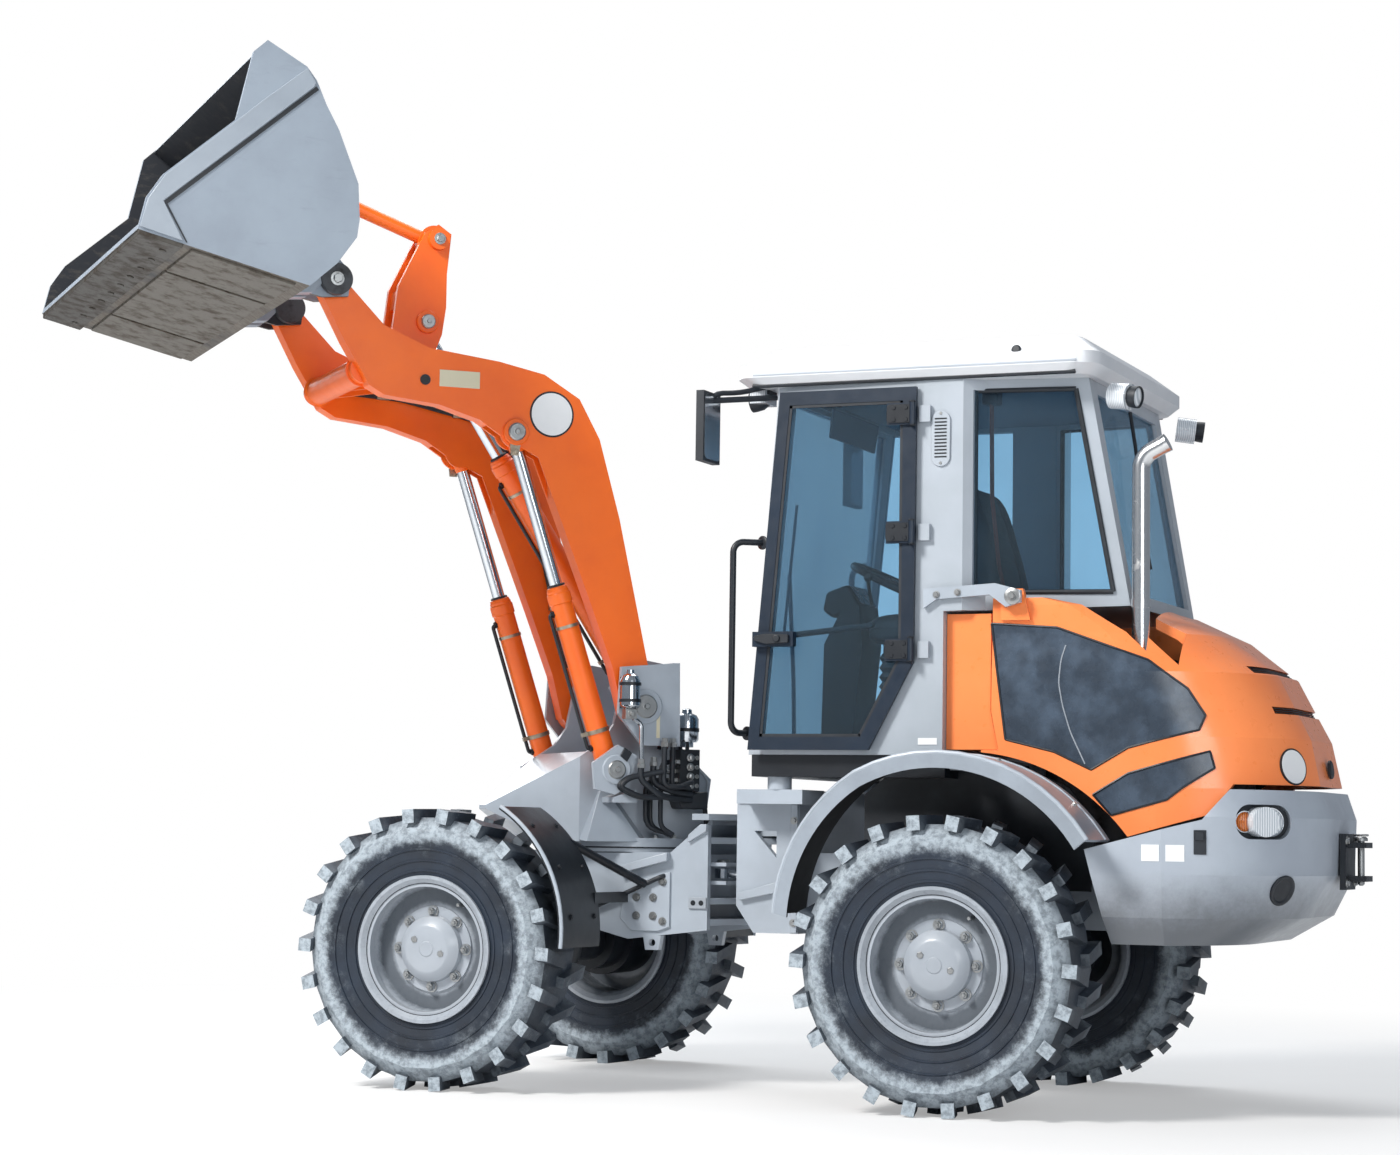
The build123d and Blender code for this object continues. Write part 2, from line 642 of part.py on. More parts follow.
with BuildPart() as nose:
    add(plate(NOSE_SIDE, -INNER[1], INNER[1], tower_plane))
    add(slab([tower_point(forward, left, 0)[:2] for forward, left in NOSE_PLAN], 900, 1300), mode=Mode.INTERSECT)
with BuildPart() as tower:
    for low, high in both_sides(*INNER):
        add(plate(TOWER_SIDE, low, high, tower_plane))
    for low, high in both_sides(*OUTER):
        add(plate(HEAD_SIDE, low, high, tower_plane))
        add(plate(LUG_SIDE, low, high, tower_plane))
    for low, high in both_sides(INNER[1] - 4, OUTER[0] + 4):
        add(plate(((-50, 1300), (-50, 1622), (-28, 1622), (-28, 1300)), low, high, tower_plane))
        add(plate(((120, 1130), (160, 1118), (215, 1100), (215, 1080), (120, 1080)), low, high + 18, tower_plane))
        add(boss(BOOM_PIVOT, 34, INNER[0] if low > 0 else -OUTER[1], OUTER[1] if low > 0 else -INNER[0], tower_plane))
        add(boss(LIFT_BASE, 26, INNER[0] if low > 0 else -OUTER[1], OUTER[1] if low > 0 else -INNER[0], tower_plane))
    add(nose.part)
    add(plate(BACK_SIDE, -270, 270, tower_plane))
    for low, high in both_sides(*TILT_CHEEKS):
        cheek = ((-232, 1180), (-120, 1590), (-20, 1610), (50, 1545), (-60, 1350), (-90, 930), (-205, 930))
        add(plate(cheek, low, high, tower_plane))
    add(post((SLEW_X, 0), 352, TOWER_LOW, TOWER_LOW + 34))
save("tower", tower.part)

with BuildPart() as valve_block:
    for low, high in ((288, 404),):
        add(plate(((-150, 1130), (-150, 1290), (-70, 1290), (-70, 1130)), low, high, tower_plane))
save("valve_block", valve_block.part)

# Boom: two cranked arms joined by a cross tube, with a fork for the tilt lever
ARM_UPPER = (
    (1385, 3062), (1291, 2999), (1152, 2858), (973, 2784), (693, 2751), (510, 2714), (365, 2628),
    (280, 2477), (192, 2171), (40, 1500),
)
ARM_LOWER = (
    (165, 1420), (210, 1597), (312, 1859), (420, 2127), (527, 2392), (687, 2471), (768, 2523), (928, 2570),
    (1145, 2593), (1204, 2626), (1305, 2789), (1407, 2980),
)
CROSS_TUBE = (1215, 2690)
ROD_POCKET = ((465, 2225), (500, 2565), (700, 2620), (770, 2400), (600, 2240))
FORK_PLATE = ((1265, 2690), (1200, 2640), (930, 2690), (900, 2760), (960, 2806), (1180, 2745))
FORK_WIDTHS = (98, 122)
with BuildPart() as boom:
    for low, high in both_sides(ARM_CENTRE - ARM_THICKNESS / 2, ARM_CENTRE + ARM_THICKNESS / 2):
        with BuildSketch(tower_plane(high)):
            with BuildLine():
                Polyline(*ARM_UPPER, *ARM_LOWER, close=True)
            make_face()
            for centre, radius in ((BUCKET_PIVOT, 60), (BOOM_PIVOT, 75), (LIFT_EYE, 62)):
                with Locations(centre):
                    Circle(radius)
            for centre, radius in ((BUCKET_PIVOT, 33), (BOOM_PIVOT, 35)):
                with Locations(centre):
                    Circle(radius, mode=Mode.SUBTRACT)
        extrude(amount=high - low)
        add(plate(ROD_POCKET, low + 11, high - 11, tower_plane), mode=Mode.SUBTRACT)
    add(boss(CROSS_TUBE, 52, -ARM_CENTRE, ARM_CENTRE, tower_plane))
    for low, high in both_sides(*FORK_WIDTHS):
        add(plate(FORK_PLATE, low, high, tower_plane, holes=[(LEVER_PIVOT, 31)]))
save("boom", boom.part)

with BuildPart() as bucket_pins:
    for low, high in both_sides(254, 446):
        add(boss(BUCKET_PIVOT, 32, low, high, tower_plane))
    for low, high in (*both_sides(254, 284), *both_sides(416, 446)):
        add(boss(BUCKET_PIVOT, 60, low, high, tower_plane))
save("bucket_pins", bucket_pins.part)

with BuildPart() as lever_pin:
    add(boss(LEVER_PIVOT, 30, -142, 142, tower_plane))
    for low, high in (*both_sides(30, 54), *both_sides(124, 142)):
        add(boss(LEVER_PIVOT, 58, low, high, tower_plane))
save("lever_pin", lever_pin.part)

LEVER_OUTLINE = (
    (800, 3290), (853, 3325), (905, 3290), (1010, 3070), (1030, 2900), (1015, 2720), (955, 2686),
    (895, 2720), (830, 2890), (815, 3000), (815, 3130),
)
LEVER_WIDTHS = (56, 78)
with BuildPart() as lever:
    for low, high in both_sides(*LEVER_WIDTHS):
        add(plate(LEVER_OUTLINE, low, high, tower_plane, holes=[(LEVER_PIVOT, 31), (LEVER_TOP, 26)]))
    add(plate(((985, 2990), (1005, 2990), (1000, 3060), (980, 3060)), -60, 60, tower_plane))
save("lever", lever.part)

with BuildPart() as link_pin:
    add(boss(LEVER_TOP, 25, -100, 100, tower_plane))
    add(boss(LEVER_TOP, 52, -54, 54, tower_plane))
    for low, high in both_sides(80, 100):
        add(boss(LEVER_TOP, 42, low, high, tower_plane))
save("link_pin", link_pin.part)

LINK_LENGTH = math.dist(LEVER_TOP, BUCKET_LINK_PIN)
with BuildPart() as tilt_link:
    start, end = [along(LEVER_TOP, BUCKET_LINK_PIN, distance) for distance in (58, LINK_LENGTH - 40)]
    add(bar(tower_point(start[0], 0, start[1]), tower_point(end[0], 0, end[1]), 27))
    add(boss(LEVER_TOP, 64, -32, 32, tower_plane, bore=53))
    add(boss(BUCKET_LINK_PIN, 44, -34, 34, tower_plane, bore=22))
save("tilt_link", tilt_link.part)

BUCKET_SIDE = (
    (2204, 3025), (2177, 3140), (2121, 3226), (1870, 3446), (1619, 3662), (1582, 3615), (1545, 3532),
    (1496, 3444), (1421, 3258), (1413, 3130), (1421, 3065), (1489, 2967), (1588, 2876),
)
BUCKET_INSIDE = (
    (2260, 3060), (2180, 3300), (1880, 3480), (1625, 3720), (1598, 3610), (1562, 3526),
    (1513, 3438), (1439, 3255), (1431, 3132), (1438, 3070), (1500, 2980), (1592, 2896),
)
SPILL_GUARD = ((1582, 3615), (1764, 3742), (1814, 3695), (1800, 3690), (1640, 3640))
with BuildPart() as bucket:
    half = BUCKET_HALF_WIDTH
    add(plate(BUCKET_SIDE, -half, half, tower_plane))
    add(plate(BUCKET_INSIDE, -half + BUCKET_SHEET, half - BUCKET_SHEET, tower_plane), mode=Mode.SUBTRACT)
    add(plate(((1582, 3615), (1764, 3742), (1774, 3728), (1592, 3600)), -half, half, tower_plane))
    for low, high in both_sides(half - BUCKET_SHEET, half):
        add(plate(((1619, 3662), (1764, 3742), (1814, 3695), (1870, 3446)), low, high, tower_plane))
    for low, high in (*both_sides(286, 304), *both_sides(396, 414)):
        ear = ((1300, 2950), (1290, 3040), (1330, 3080), (1432, 3200), (1500, 2960), (1400, 2940))
        add(plate(ear, low, high, tower_plane, holes=[(BUCKET_PIVOT, 33)]))
    for low, high in both_sides(42, 60):
        ear = ((1310, 3400), (1310, 3480), (1390, 3500), (1524, 3500), (1450, 3300))
        add(plate(ear, low, high, tower_plane))
save("bucket", bucket.part)


# Cylinders: each barrel turns on its base pin, and each rod slides in its barrel
def cylinder(base, eye, barrel_length, barrel_radius, rod_radius, middle, half_eye, base_bore):
    """A hydraulic cylinder's barrel and rod in the tower's plane at one width."""
    def at(distance):
        forward, height = along(base, eye, distance)
        return tower_point(forward, middle, height)

    reach = math.dist(base, eye)
    with BuildPart() as barrel:
        add(bar(at(30), at(barrel_length), barrel_radius))
        add(boss(base, barrel_radius, middle - half_eye, middle + half_eye, tower_plane))
        add(boss(base, base_bore, middle - half_eye - 30, middle + half_eye + 30, tower_plane), mode=Mode.SUBTRACT)
        add(bar(at(80), at(barrel_length + 2), rod_radius + 0.5), mode=Mode.SUBTRACT)
    with BuildPart() as rod:
        add(bar(at(barrel_length - 90), at(reach - 20), rod_radius))
        add(boss(eye, barrel_radius, middle - half_eye, middle + half_eye, tower_plane))
        add(boss(eye, base_bore, middle - half_eye - 30, middle + half_eye + 30, tower_plane), mode=Mode.SUBTRACT)
    return barrel.part, rod.part


with BuildPart() as lift_barrels:
    for side in (-1, 1):
        add(cylinder(LIFT_BASE, LIFT_EYE, 720, 43, 25, side * ARM_CENTRE, 24, 27)[0])
save("lift_barrels", lift_barrels.part)
with BuildPart() as lift_rods:
    for side in (-1, 1):
        add(cylinder(LIFT_BASE, LIFT_EYE, 720, 43, 25, side * ARM_CENTRE, 24, 27)[1])
save("lift_rods", lift_rods.part)

tilt_parts = cylinder(TILT_BASE, LEVER_EYE, 1050, 45, 25, 0, 40, 26)
save("tilt_barrel", tilt_parts[0])
save("tilt_rod", tilt_parts[1])
with BuildPart() as tilt_pin:
    add(boss(TILT_BASE, 25, -68, 68, tower_plane))
    for low, high in both_sides(47, 68):
        add(boss(TILT_BASE, 62, low, high, tower_plane))
save("tilt_pin", tilt_pin.part)

STEER_BARREL = 420
for side, name in ((1, "left"), (-1, "right")):
    base = (STEER_BASE[0], side * STEER_BASE[1])
    eye = (STEER_EYE[0], side * STEER_EYE[1])
    reach = math.dist(base, eye)
    places = [(*along(base, eye, d), STEER_BASE[2]) for d in (38, 60, 340, STEER_BARREL, STEER_BARREL + 2, reach - 20)]
    with BuildPart() as barrel:
        add(bar(places[0], places[3], 35))
        add(post(base, 40, STEER_BASE[2] - 20, STEER_BASE[2] + 20))
        add(post(base, 21, STEER_BASE[2] - 25, STEER_BASE[2] + 25), mode=Mode.SUBTRACT)
        add(bar(places[1], places[4], 16.5), mode=Mode.SUBTRACT)
    with BuildPart() as rod:
        add(bar(places[2], places[5], 16))
        add(post(eye, 32, STEER_EYE[2] - 18, STEER_EYE[2] + 18, bore=18))
    save(f"steer_barrel_{name}", barrel.part)
    save(f"steer_rod_{name}", rod.part)
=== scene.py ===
"""A compact articulated swing loader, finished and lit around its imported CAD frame."""
import json
import logging
import math
from dataclasses import dataclass
from enum import Enum
from typing import Optional, Sequence

import bmesh
import bpy
from mathutils import Matrix, Vector


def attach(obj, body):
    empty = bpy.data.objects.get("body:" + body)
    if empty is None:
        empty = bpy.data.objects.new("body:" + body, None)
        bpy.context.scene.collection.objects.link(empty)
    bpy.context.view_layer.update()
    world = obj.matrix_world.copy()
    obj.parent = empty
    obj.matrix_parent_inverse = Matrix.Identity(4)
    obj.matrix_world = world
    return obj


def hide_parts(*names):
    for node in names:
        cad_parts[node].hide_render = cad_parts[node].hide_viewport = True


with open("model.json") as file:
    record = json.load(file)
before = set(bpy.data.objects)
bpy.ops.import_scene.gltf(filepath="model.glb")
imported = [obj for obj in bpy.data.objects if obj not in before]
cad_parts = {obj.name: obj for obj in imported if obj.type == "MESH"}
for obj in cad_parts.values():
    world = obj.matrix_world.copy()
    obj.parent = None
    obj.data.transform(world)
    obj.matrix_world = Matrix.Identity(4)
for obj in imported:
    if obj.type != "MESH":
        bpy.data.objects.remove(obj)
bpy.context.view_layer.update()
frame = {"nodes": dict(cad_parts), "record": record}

LOG = logging.getLogger("swing_loader")
Colour = tuple[float, float, float]
Point = tuple[float, float, float]
Flat = tuple[float, float]
Socket = bpy.types.NodeSocket

SOFT_EDGE_DEGREES = 32.0
FULL_TURN = 2 * math.pi
UP = Vector((0.0, 0.0, 1.0))
WHEELBASE = 1.990
AXLE_HEIGHT = 0.522
TRACK_HALF = 0.810
SLEW_X = 1.605
SLEW_TURN = math.radians(45.0)
BOOM_PIVOT = (0.090, 1.450)
LIFT_BASE = (0.205, 1.205)
LIFT_EYE = (0.622, 2.484)
BUCKET_PIVOT = (1.352, 3.008)
LEVER_PIVOT = (0.955, 2.746)
LEVER_EYE = (0.891, 2.936)
LEVER_TOP = (0.853, 3.265)
TILT_BASE = (-0.020, 1.540)


class Side(Enum):
    """The machine's two sides, as the sign of their Y direction."""

    LEFT = 1
    RIGHT = -1


SIDES = tuple((side.name.lower(), side.value) for side in Side)


class Wheel(Enum):
    """The four wheels, each with the place of its centre."""

    FRONT_LEFT = (WHEELBASE, TRACK_HALF)
    FRONT_RIGHT = (WHEELBASE, -TRACK_HALF)
    REAR_LEFT = (0.0, TRACK_HALF)
    REAR_RIGHT = (0.0, -TRACK_HALF)

    @property
    def label(self) -> str:
        """The wheel's position as the CAD nodes spell it."""
        return self.name.lower()

    @property
    def centre(self) -> Vector:
        """The middle of the wheel, in metres."""
        return Vector((self.value[0], self.value[1], AXLE_HEIGHT))

    @property
    def outward(self) -> float:
        """Which way along Y the wheel's outer face looks."""
        return math.copysign(1.0, self.value[1])


def tower_point(forward: float, left: float, height: float) -> Vector:
    """A point given in the slewed tower's own directions.

    Args:
        forward: Distance ahead of the slew axis, in metres.
        left: Distance to the tower's left, in metres.
        height: Height above the ground, in metres.

    Returns:
        The same point in the machine's frame.
    """
    across, along = math.sin(SLEW_TURN), math.cos(SLEW_TURN)
    return Vector((SLEW_X + forward * along - left * across, forward * across + left * along, height))


def tower_direction(forward: float, left: float, height: float) -> Vector:
    """A unit direction given in the slewed tower's own directions."""
    return (tower_point(forward, left, height) - tower_point(0.0, 0.0, 0.0)).normalized()


# Materials


# Colour of road film on the fender undercoat, and of the painted shade at the bottom of the tail's paint.
ROAD_FILM_AND_SHADE = (0.050, 0.052, 0.056)
AROUND_AXLE = (1.0, 0.0, 1.0)
MOTTLE = (0.30, 0.72)


def scaled(colour: Colour, factor: float, lift: float = 0.0) -> Colour:
    """A colour made darker or brighter, and lifted by a constant."""
    return tuple(factor * c + lift for c in colour)


class Graph:
    """Writes one node tree, a material's or the world's, in short calls."""

    def __init__(self, name: str, world: Optional[bpy.types.World] = None) -> None:
        """Start an empty tree with its output.

        Args:
            name: The new material's name.
            world: The world to write, or None for a new material.
        """
        self.owner = world or bpy.data.materials.new(name)
        self.owner.use_nodes = True
        self.tree = self.owner.node_tree
        self.tree.nodes.clear()
        self.output = self.add("ShaderNodeOutputWorld" if world else "ShaderNodeOutputMaterial")

    def add(self, kind: str, inputs: Optional[dict] = None, **settings: object) -> bpy.types.Node:
        """Add a node, set its properties, and set or link its sockets.

        Args:
            kind: The node's type.
            inputs: Values or sockets by input name.
            settings: Properties of the node.

        Returns:
            The node.
        """
        node = self.tree.nodes.new(kind)
        for key, value in settings.items():
            setattr(node, key, value)
        for key, value in (inputs or {}).items():
            socket = node.inputs[key]
            if isinstance(value, Socket):
                self.tree.links.new(value, socket)
            elif socket.type == "RGBA":
                socket.default_value = (*value, 1.0)
            else:
                socket.default_value = value
        return node

    def place(self, of: str = "Object") -> Socket:
        """The object's own coordinates, or its surface direction."""
        return self.add("ShaderNodeTexCoord").outputs[of]

    def part(self, axis: str, of: str = "Object") -> Socket:
        """One coordinate of the object's place or of its surface direction."""
        return self.add("ShaderNodeSeparateXYZ", {0: self.place(of)}).outputs[axis]

    def stretched(self, scale: Point, turn: Point = (0.0, 0.0, 0.0)) -> Socket:
        """Object coordinates scaled, and turned in degrees, for streaks and grain.

        Args:
            scale: Scale along each axis.
            turn: Turn about each axis, in degrees.

        Returns:
            The socket of the place.
        """
        turns = [math.radians(a) for a in turn]
        inputs = {"Vector": self.place(), "Scale": scale, "Rotation": turns}
        return self.add("ShaderNodeMapping", inputs).outputs["Vector"]

    def noise(
        self, scale: float, detail: float = 4.0, rough: float = 0.55, place: Optional[Socket] = None
    ) -> Socket:
        """A noise pattern from 0 to 1.

        Args:
            scale: Blotches to the metre.
            detail: Octaves of finer noise.
            rough: How strong the finer octaves are.
            place: The coordinates, or None for the object's own.

        Returns:
            The pattern's value.
        """
        inputs = {"Vector": place or self.place(), "Scale": scale, "Detail": detail, "Roughness": rough}
        return self.add("ShaderNodeTexNoise", inputs).outputs["Fac"]

    def ramp(self, factor: Socket, low: float, high: float, flip: bool = False) -> Socket:
        """A value eased from 0 to 1 as factor goes from low to high.

        Args:
            factor: What is ramped.
            low: Where the ramp starts.
            high: Where it ends.
            flip: Whether it falls and doesn't rise.

        Returns:
            The ramp's socket.
        """
        ends = (1.0, 0.0) if flip else (0.0, 1.0)
        inputs = {"Value": factor, "From Min": low, "From Max": high, "To Min": ends[0], "To Max": ends[1]}
        return self.add("ShaderNodeMapRange", inputs, interpolation_type="SMOOTHSTEP").outputs["Result"]

    def blotches(self, low: float, high: float, *pattern: object) -> Socket:
        """A noise pattern eased from 0 to 1 between two of its values."""
        return self.ramp(self.noise(*pattern), low, high)

    def level(self, factor: Socket, low: float, high: float) -> Socket:
        """A plain value that runs from low to high with factor."""
        levels = {"Value": factor, "To Min": low, "To Max": high}
        return self.add("ShaderNodeMapRange", levels).outputs["Result"]

    def sum(self, kind: str, first: object, second: object = 0.5) -> Socket:
        """A Math node's result."""
        return self.add("ShaderNodeMath", {0: first, 1: second}, operation=kind).outputs[0]

    def times(self, first: object, second: object) -> Socket:
        """A product."""
        return self.sum("MULTIPLY", first, second)

    def vector(self, kind: str, first: object, second: object = (0.0, 0.0, 0.0)) -> bpy.types.Node:
        """A Vector Math node."""
        return self.add("ShaderNodeVectorMath", {0: first, 1: second}, operation=kind)

    def mix(self, factor: object, first: object, second: object) -> Socket:
        """A colour between two others."""
        return self.add("ShaderNodeMix", {0: factor, 6: first, 7: second}, data_type="RGBA").outputs[2]

    def over(self, colour: object, other: object, mask: Socket, amount: float) -> Socket:
        """A colour with another laid over it where a mask says, by an amount."""
        return self.mix(self.times(mask, amount), colour, other)

    def distance_from(self, centre: Point, axes: Point) -> Socket:
        """Distance of the surface from a point, measured along some of the axes."""
        flat = self.vector("MULTIPLY", self.vector("SUBTRACT", self.place(), centre).outputs[0], axes)
        return self.vector("LENGTH", flat.outputs[0]).outputs["Value"]

    def facing(self, centre: Point, axes: Point, reach: float) -> Socket:
        """How far a surface looks towards a point, from 0 to 1.

        Args:
            centre: The point.
            axes: Weight of each axis, to leave one out.
            reach: Distance times cosine at which the value is 1.

        Returns:
            The value.
        """
        flat = self.vector("MULTIPLY", self.vector("SUBTRACT", centre, self.place()).outputs[0], axes)
        dot = self.vector("DOT_PRODUCT", flat.outputs[0], self.place("Normal"))
        return self.ramp(dot.outputs["Value"], 0.2 * reach, reach)

    def seen_directly(self) -> Socket:
        """1 for light paths that come straight from the camera or through glass."""
        path = self.add("ShaderNodeLightPath")
        return self.sum("MAXIMUM", path.outputs["Is Camera Ray"], path.outputs["Is Transmission Ray"])

    def blend(self, share: Socket, first: bpy.types.Node, second: bpy.types.Node) -> None:
        """Wire a mix of two shaders to the output."""
        join = self.add("ShaderNodeMixShader", {0: share, 1: first.outputs[0], 2: second.outputs[0]})
        self.tree.links.new(join.outputs[0], self.output.inputs["Surface"])

    def shader(self, colour: Socket, rough: Socket, height: Socket, bump: Flat, **inputs: float) -> None:
        """Wire the main shader to the output.

        Args:
            colour: Its colour.
            rough: Its roughness.
            height: The pattern that roughens its surface.
            bump: Strength and depth of that pattern.
            **inputs: More sockets, with an underscore for each space.
        """
        heights = {"Height": height, "Strength": bump[0], "Distance": bump[1]}
        normal = self.add("ShaderNodeBump", heights).outputs["Normal"]
        sockets = {"Base Color": colour, "Roughness": rough, "Normal": normal}
        sockets.update({key.replace("_", " "): value for key, value in inputs.items()})
        node = self.add("ShaderNodeBsdfPrincipled", sockets)
        self.tree.links.new(node.outputs[0], self.output.inputs["Surface"])


class Finish:
    """Something a surface is made of. Each kind builds its own material once."""

    name: str
    _made: dict[str, bpy.types.Material] = {}

    def draw(self, graph: Graph) -> None:
        """Write the node tree."""
        raise NotImplementedError

    def material(self) -> bpy.types.Material:
        """The finish's material, built on first use.

        Returns:
            The material.
        """
        if self.name not in Finish._made:
            graph = Graph(self.name)
            self.draw(graph)
            Finish._made[self.name] = graph.owner
        return Finish._made[self.name]


@dataclass(frozen=True)
class Paint(Finish):
    """Sprayed machine paint with dust, soft mottling, orange peel and scuffs, and where asked painted shade
    towards the bottom.

    Args:
        name: The material's name.
        colour: The clean paint.
        shade: The paint where it has dulled.
        dust: Colour of the dust that settles on it.
        dusty: How much dust low and level faces hold, from 0 to 1.
        scuffs: How much of the surface is scuffed, from 0 to 1.
        gloss: Roughness of the clean paint.
        coat: Weight of the clear top layer.
        grime: Heights between which the painted shade at the bottom fades out, or equal heights for none.
    """

    name: str
    colour: Colour
    shade: Colour
    dust: Colour = (0.40, 0.39, 0.37)
    dusty: float = 0.25
    scuffs: float = 0.12
    gloss: float = 0.32
    coat: float = 0.25
    grime: Flat = (0.0, 0.0)

    def draw(self, graph: Graph) -> None:
        """Write the painted metal.

        Args:
            graph: The material's node graph.
        """
        colour = graph.mix(graph.blotches(*MOTTLE, 3.0, 5.0), self.colour, self.shade)
        upward = graph.ramp(graph.part("Z", "Normal"), 0.35, 0.95)
        settled = graph.times(upward, graph.blotches(0.32, 0.70, 55.0, 6.0, 0.65))
        film = graph.sum("MAXIMUM", settled, graph.times(graph.blotches(0.60, 0.78, 190.0, 3.0), 0.5))
        colour = graph.over(colour, self.dust, film, self.dusty)
        streak = graph.blotches(0.58, 0.72, 8.0, 8.0, 0.7, graph.stretched((6.0, 6.0, 1.2)))
        colour = graph.over(colour, scaled(self.colour, 0.60, 0.10), streak, self.scuffs)
        # Painted shade: the paint darkens below the given heights, with a ragged edge.
        if self.grime[1] > self.grime[0]:
            ragged = graph.sum("ADD", graph.part("Z"), graph.level(graph.noise(6.0, 8.0, 0.75), -0.12, 0.12))
            colour = graph.over(colour, ROAD_FILM_AND_SHADE, graph.ramp(ragged, *self.grime, flip=True), 0.78)
        rough = graph.level(graph.noise(22.0, 6.0, 0.6), self.gloss - 0.07, self.gloss + 0.16)
        peel = graph.noise(420.0, 2.0, 0.4)
        extra = {"Coat_Weight": self.coat, "Coat_Roughness": 0.16, "Specular_IOR_Level": 0.5}
        graph.shader(colour, rough, peel, (0.10, 0.0006), **extra)


@dataclass(frozen=True)
class Steel(Finish):
    """Bare or plated metal with brushing, tarnish and fine scratches.

    Args:
        name: The material's name.
        colour: Colour of the clean metal.
        tarnish: Colour where it has darkened or rusted.
        amount: How much of it has tarnished, from 0 to 1.
        gloss: Roughness of the clean metal.
        grain: Scale along X, Y and Z of the brushing.
        metallic: How metallic it is, from 0 to 1.
    """

    name: str
    colour: Colour
    tarnish: Colour
    amount: float = 0.3
    gloss: float = 0.25
    grain: Point = (1.0, 1.0, 1.0)
    metallic: float = 1.0

    def draw(self, graph: Graph) -> None:
        """Write the metal.

        Args:
            graph: The material's node graph.
        """
        ends = (0.62 - 0.3 * self.amount, 0.82 - 0.2 * self.amount)
        stain = graph.blotches(*ends, 14.0, 8.0, 0.65)
        lines = graph.noise(70.0, 4.0, 0.7, graph.stretched(self.grain))
        colour = graph.over(self.colour, self.tarnish, stain, min(1.0, self.amount + 0.25))
        colour = graph.mix(graph.level(lines, 0.0, 0.35), colour, scaled(self.colour, 0.6))
        brushed = graph.level(lines, self.gloss - 0.05, self.gloss + 0.15)
        rough = graph.sum("ADD", brushed, graph.times(stain, 0.3))
        graph.shader(colour, rough, lines, (0.15, 0.0004), Metallic=self.metallic)


@dataclass(frozen=True)
class Plastic(Finish):
    """Moulded plastic or rubber trim with a fine grain and a bloom of dust.

    Args:
        name: The material's name.
        colour: The clean plastic.
        bloom: Colour of its chalky or dusty bloom.
        amount: How strong the bloom is.
        gloss: Roughness of the clean plastic.
        grain: Grain pits to the metre.
    """

    name: str
    colour: Colour
    bloom: Colour
    amount: float = 0.3
    gloss: float = 0.5
    grain: float = 700.0

    def draw(self, graph: Graph) -> None:
        """Write the plastic.

        Args:
            graph: The material's node graph.
        """
        haze = graph.blotches(0.35, 0.8, 9.0, 7.0, 0.6)
        colour = graph.over(self.colour, self.bloom, haze, self.amount)
        pits = graph.add("ShaderNodeTexVoronoi", {"Vector": graph.place(), "Scale": self.grain})
        rough = graph.level(graph.noise(30.0, 5.0), self.gloss - 0.08, self.gloss + 0.15)
        graph.shader(colour, rough, pits.outputs["Distance"], (0.12, 0.0005))


@dataclass(frozen=True)
class TyreRubber(Finish):
    """A lugged tyre: dark sidewall, and dust dried on the lugs and the shoulder.

    Args:
        name: The material's name.
        centre: The wheel's middle, for measuring out from the axle.
        rubber: The clean rubber.
        dust: The dried dust.
        tread: Distances from the axle between which the dust sets in.
    """

    name: str
    centre: Point
    rubber: Colour = (0.006, 0.011, 0.020)
    dust: Colour = (0.40, 0.46, 0.51)
    tread: Flat = (0.385, 0.425)

    def draw(self, graph: Graph) -> None:
        """Write the rubber.

        Args:
            graph: The material's node graph.
        """
        reach = graph.distance_from(self.centre, AROUND_AXLE)
        ragged = graph.sum("ADD", reach, graph.level(graph.noise(20.0, 8.0, 0.75), -0.045, 0.045))
        worn = graph.level(graph.blotches(0.36, 0.60, 38.0, 8.0, 0.72), 0.45, 0.95)
        across = graph.ramp(graph.distance_from(self.centre, (0.0, 1.0, 0.0)), 0.105, 0.150)
        sideways = graph.ramp(graph.sum("ABSOLUTE", graph.part("Y", "Normal")), 0.25, 0.75)
        mask = graph.times(graph.ramp(ragged, *self.tread), worn)
        mask = graph.times(mask, graph.level(across, 0.30, 1.0))
        mask = graph.times(mask, graph.level(sideways, 0.22, 1.0))
        smear = graph.times(graph.blotches(0.50, 0.80, 11.0, 9.0, 0.8), 0.45)
        mask = graph.sum("MAXIMUM", mask, graph.times(graph.ramp(reach, 0.300, 0.390), smear))
        wash = graph.blotches(0.30, 0.75, 5.0, 6.0, 0.6)
        colour = graph.mix(mask, graph.mix(wash, self.rubber, scaled(self.rubber, 2.2)), self.dust)
        height = graph.sum("ADD", graph.noise(120.0, 6.0, 0.7), graph.times(mask, 0.4))
        graph.shader(colour, graph.level(mask, 0.50, 0.92), height, (0.35, 0.0025))


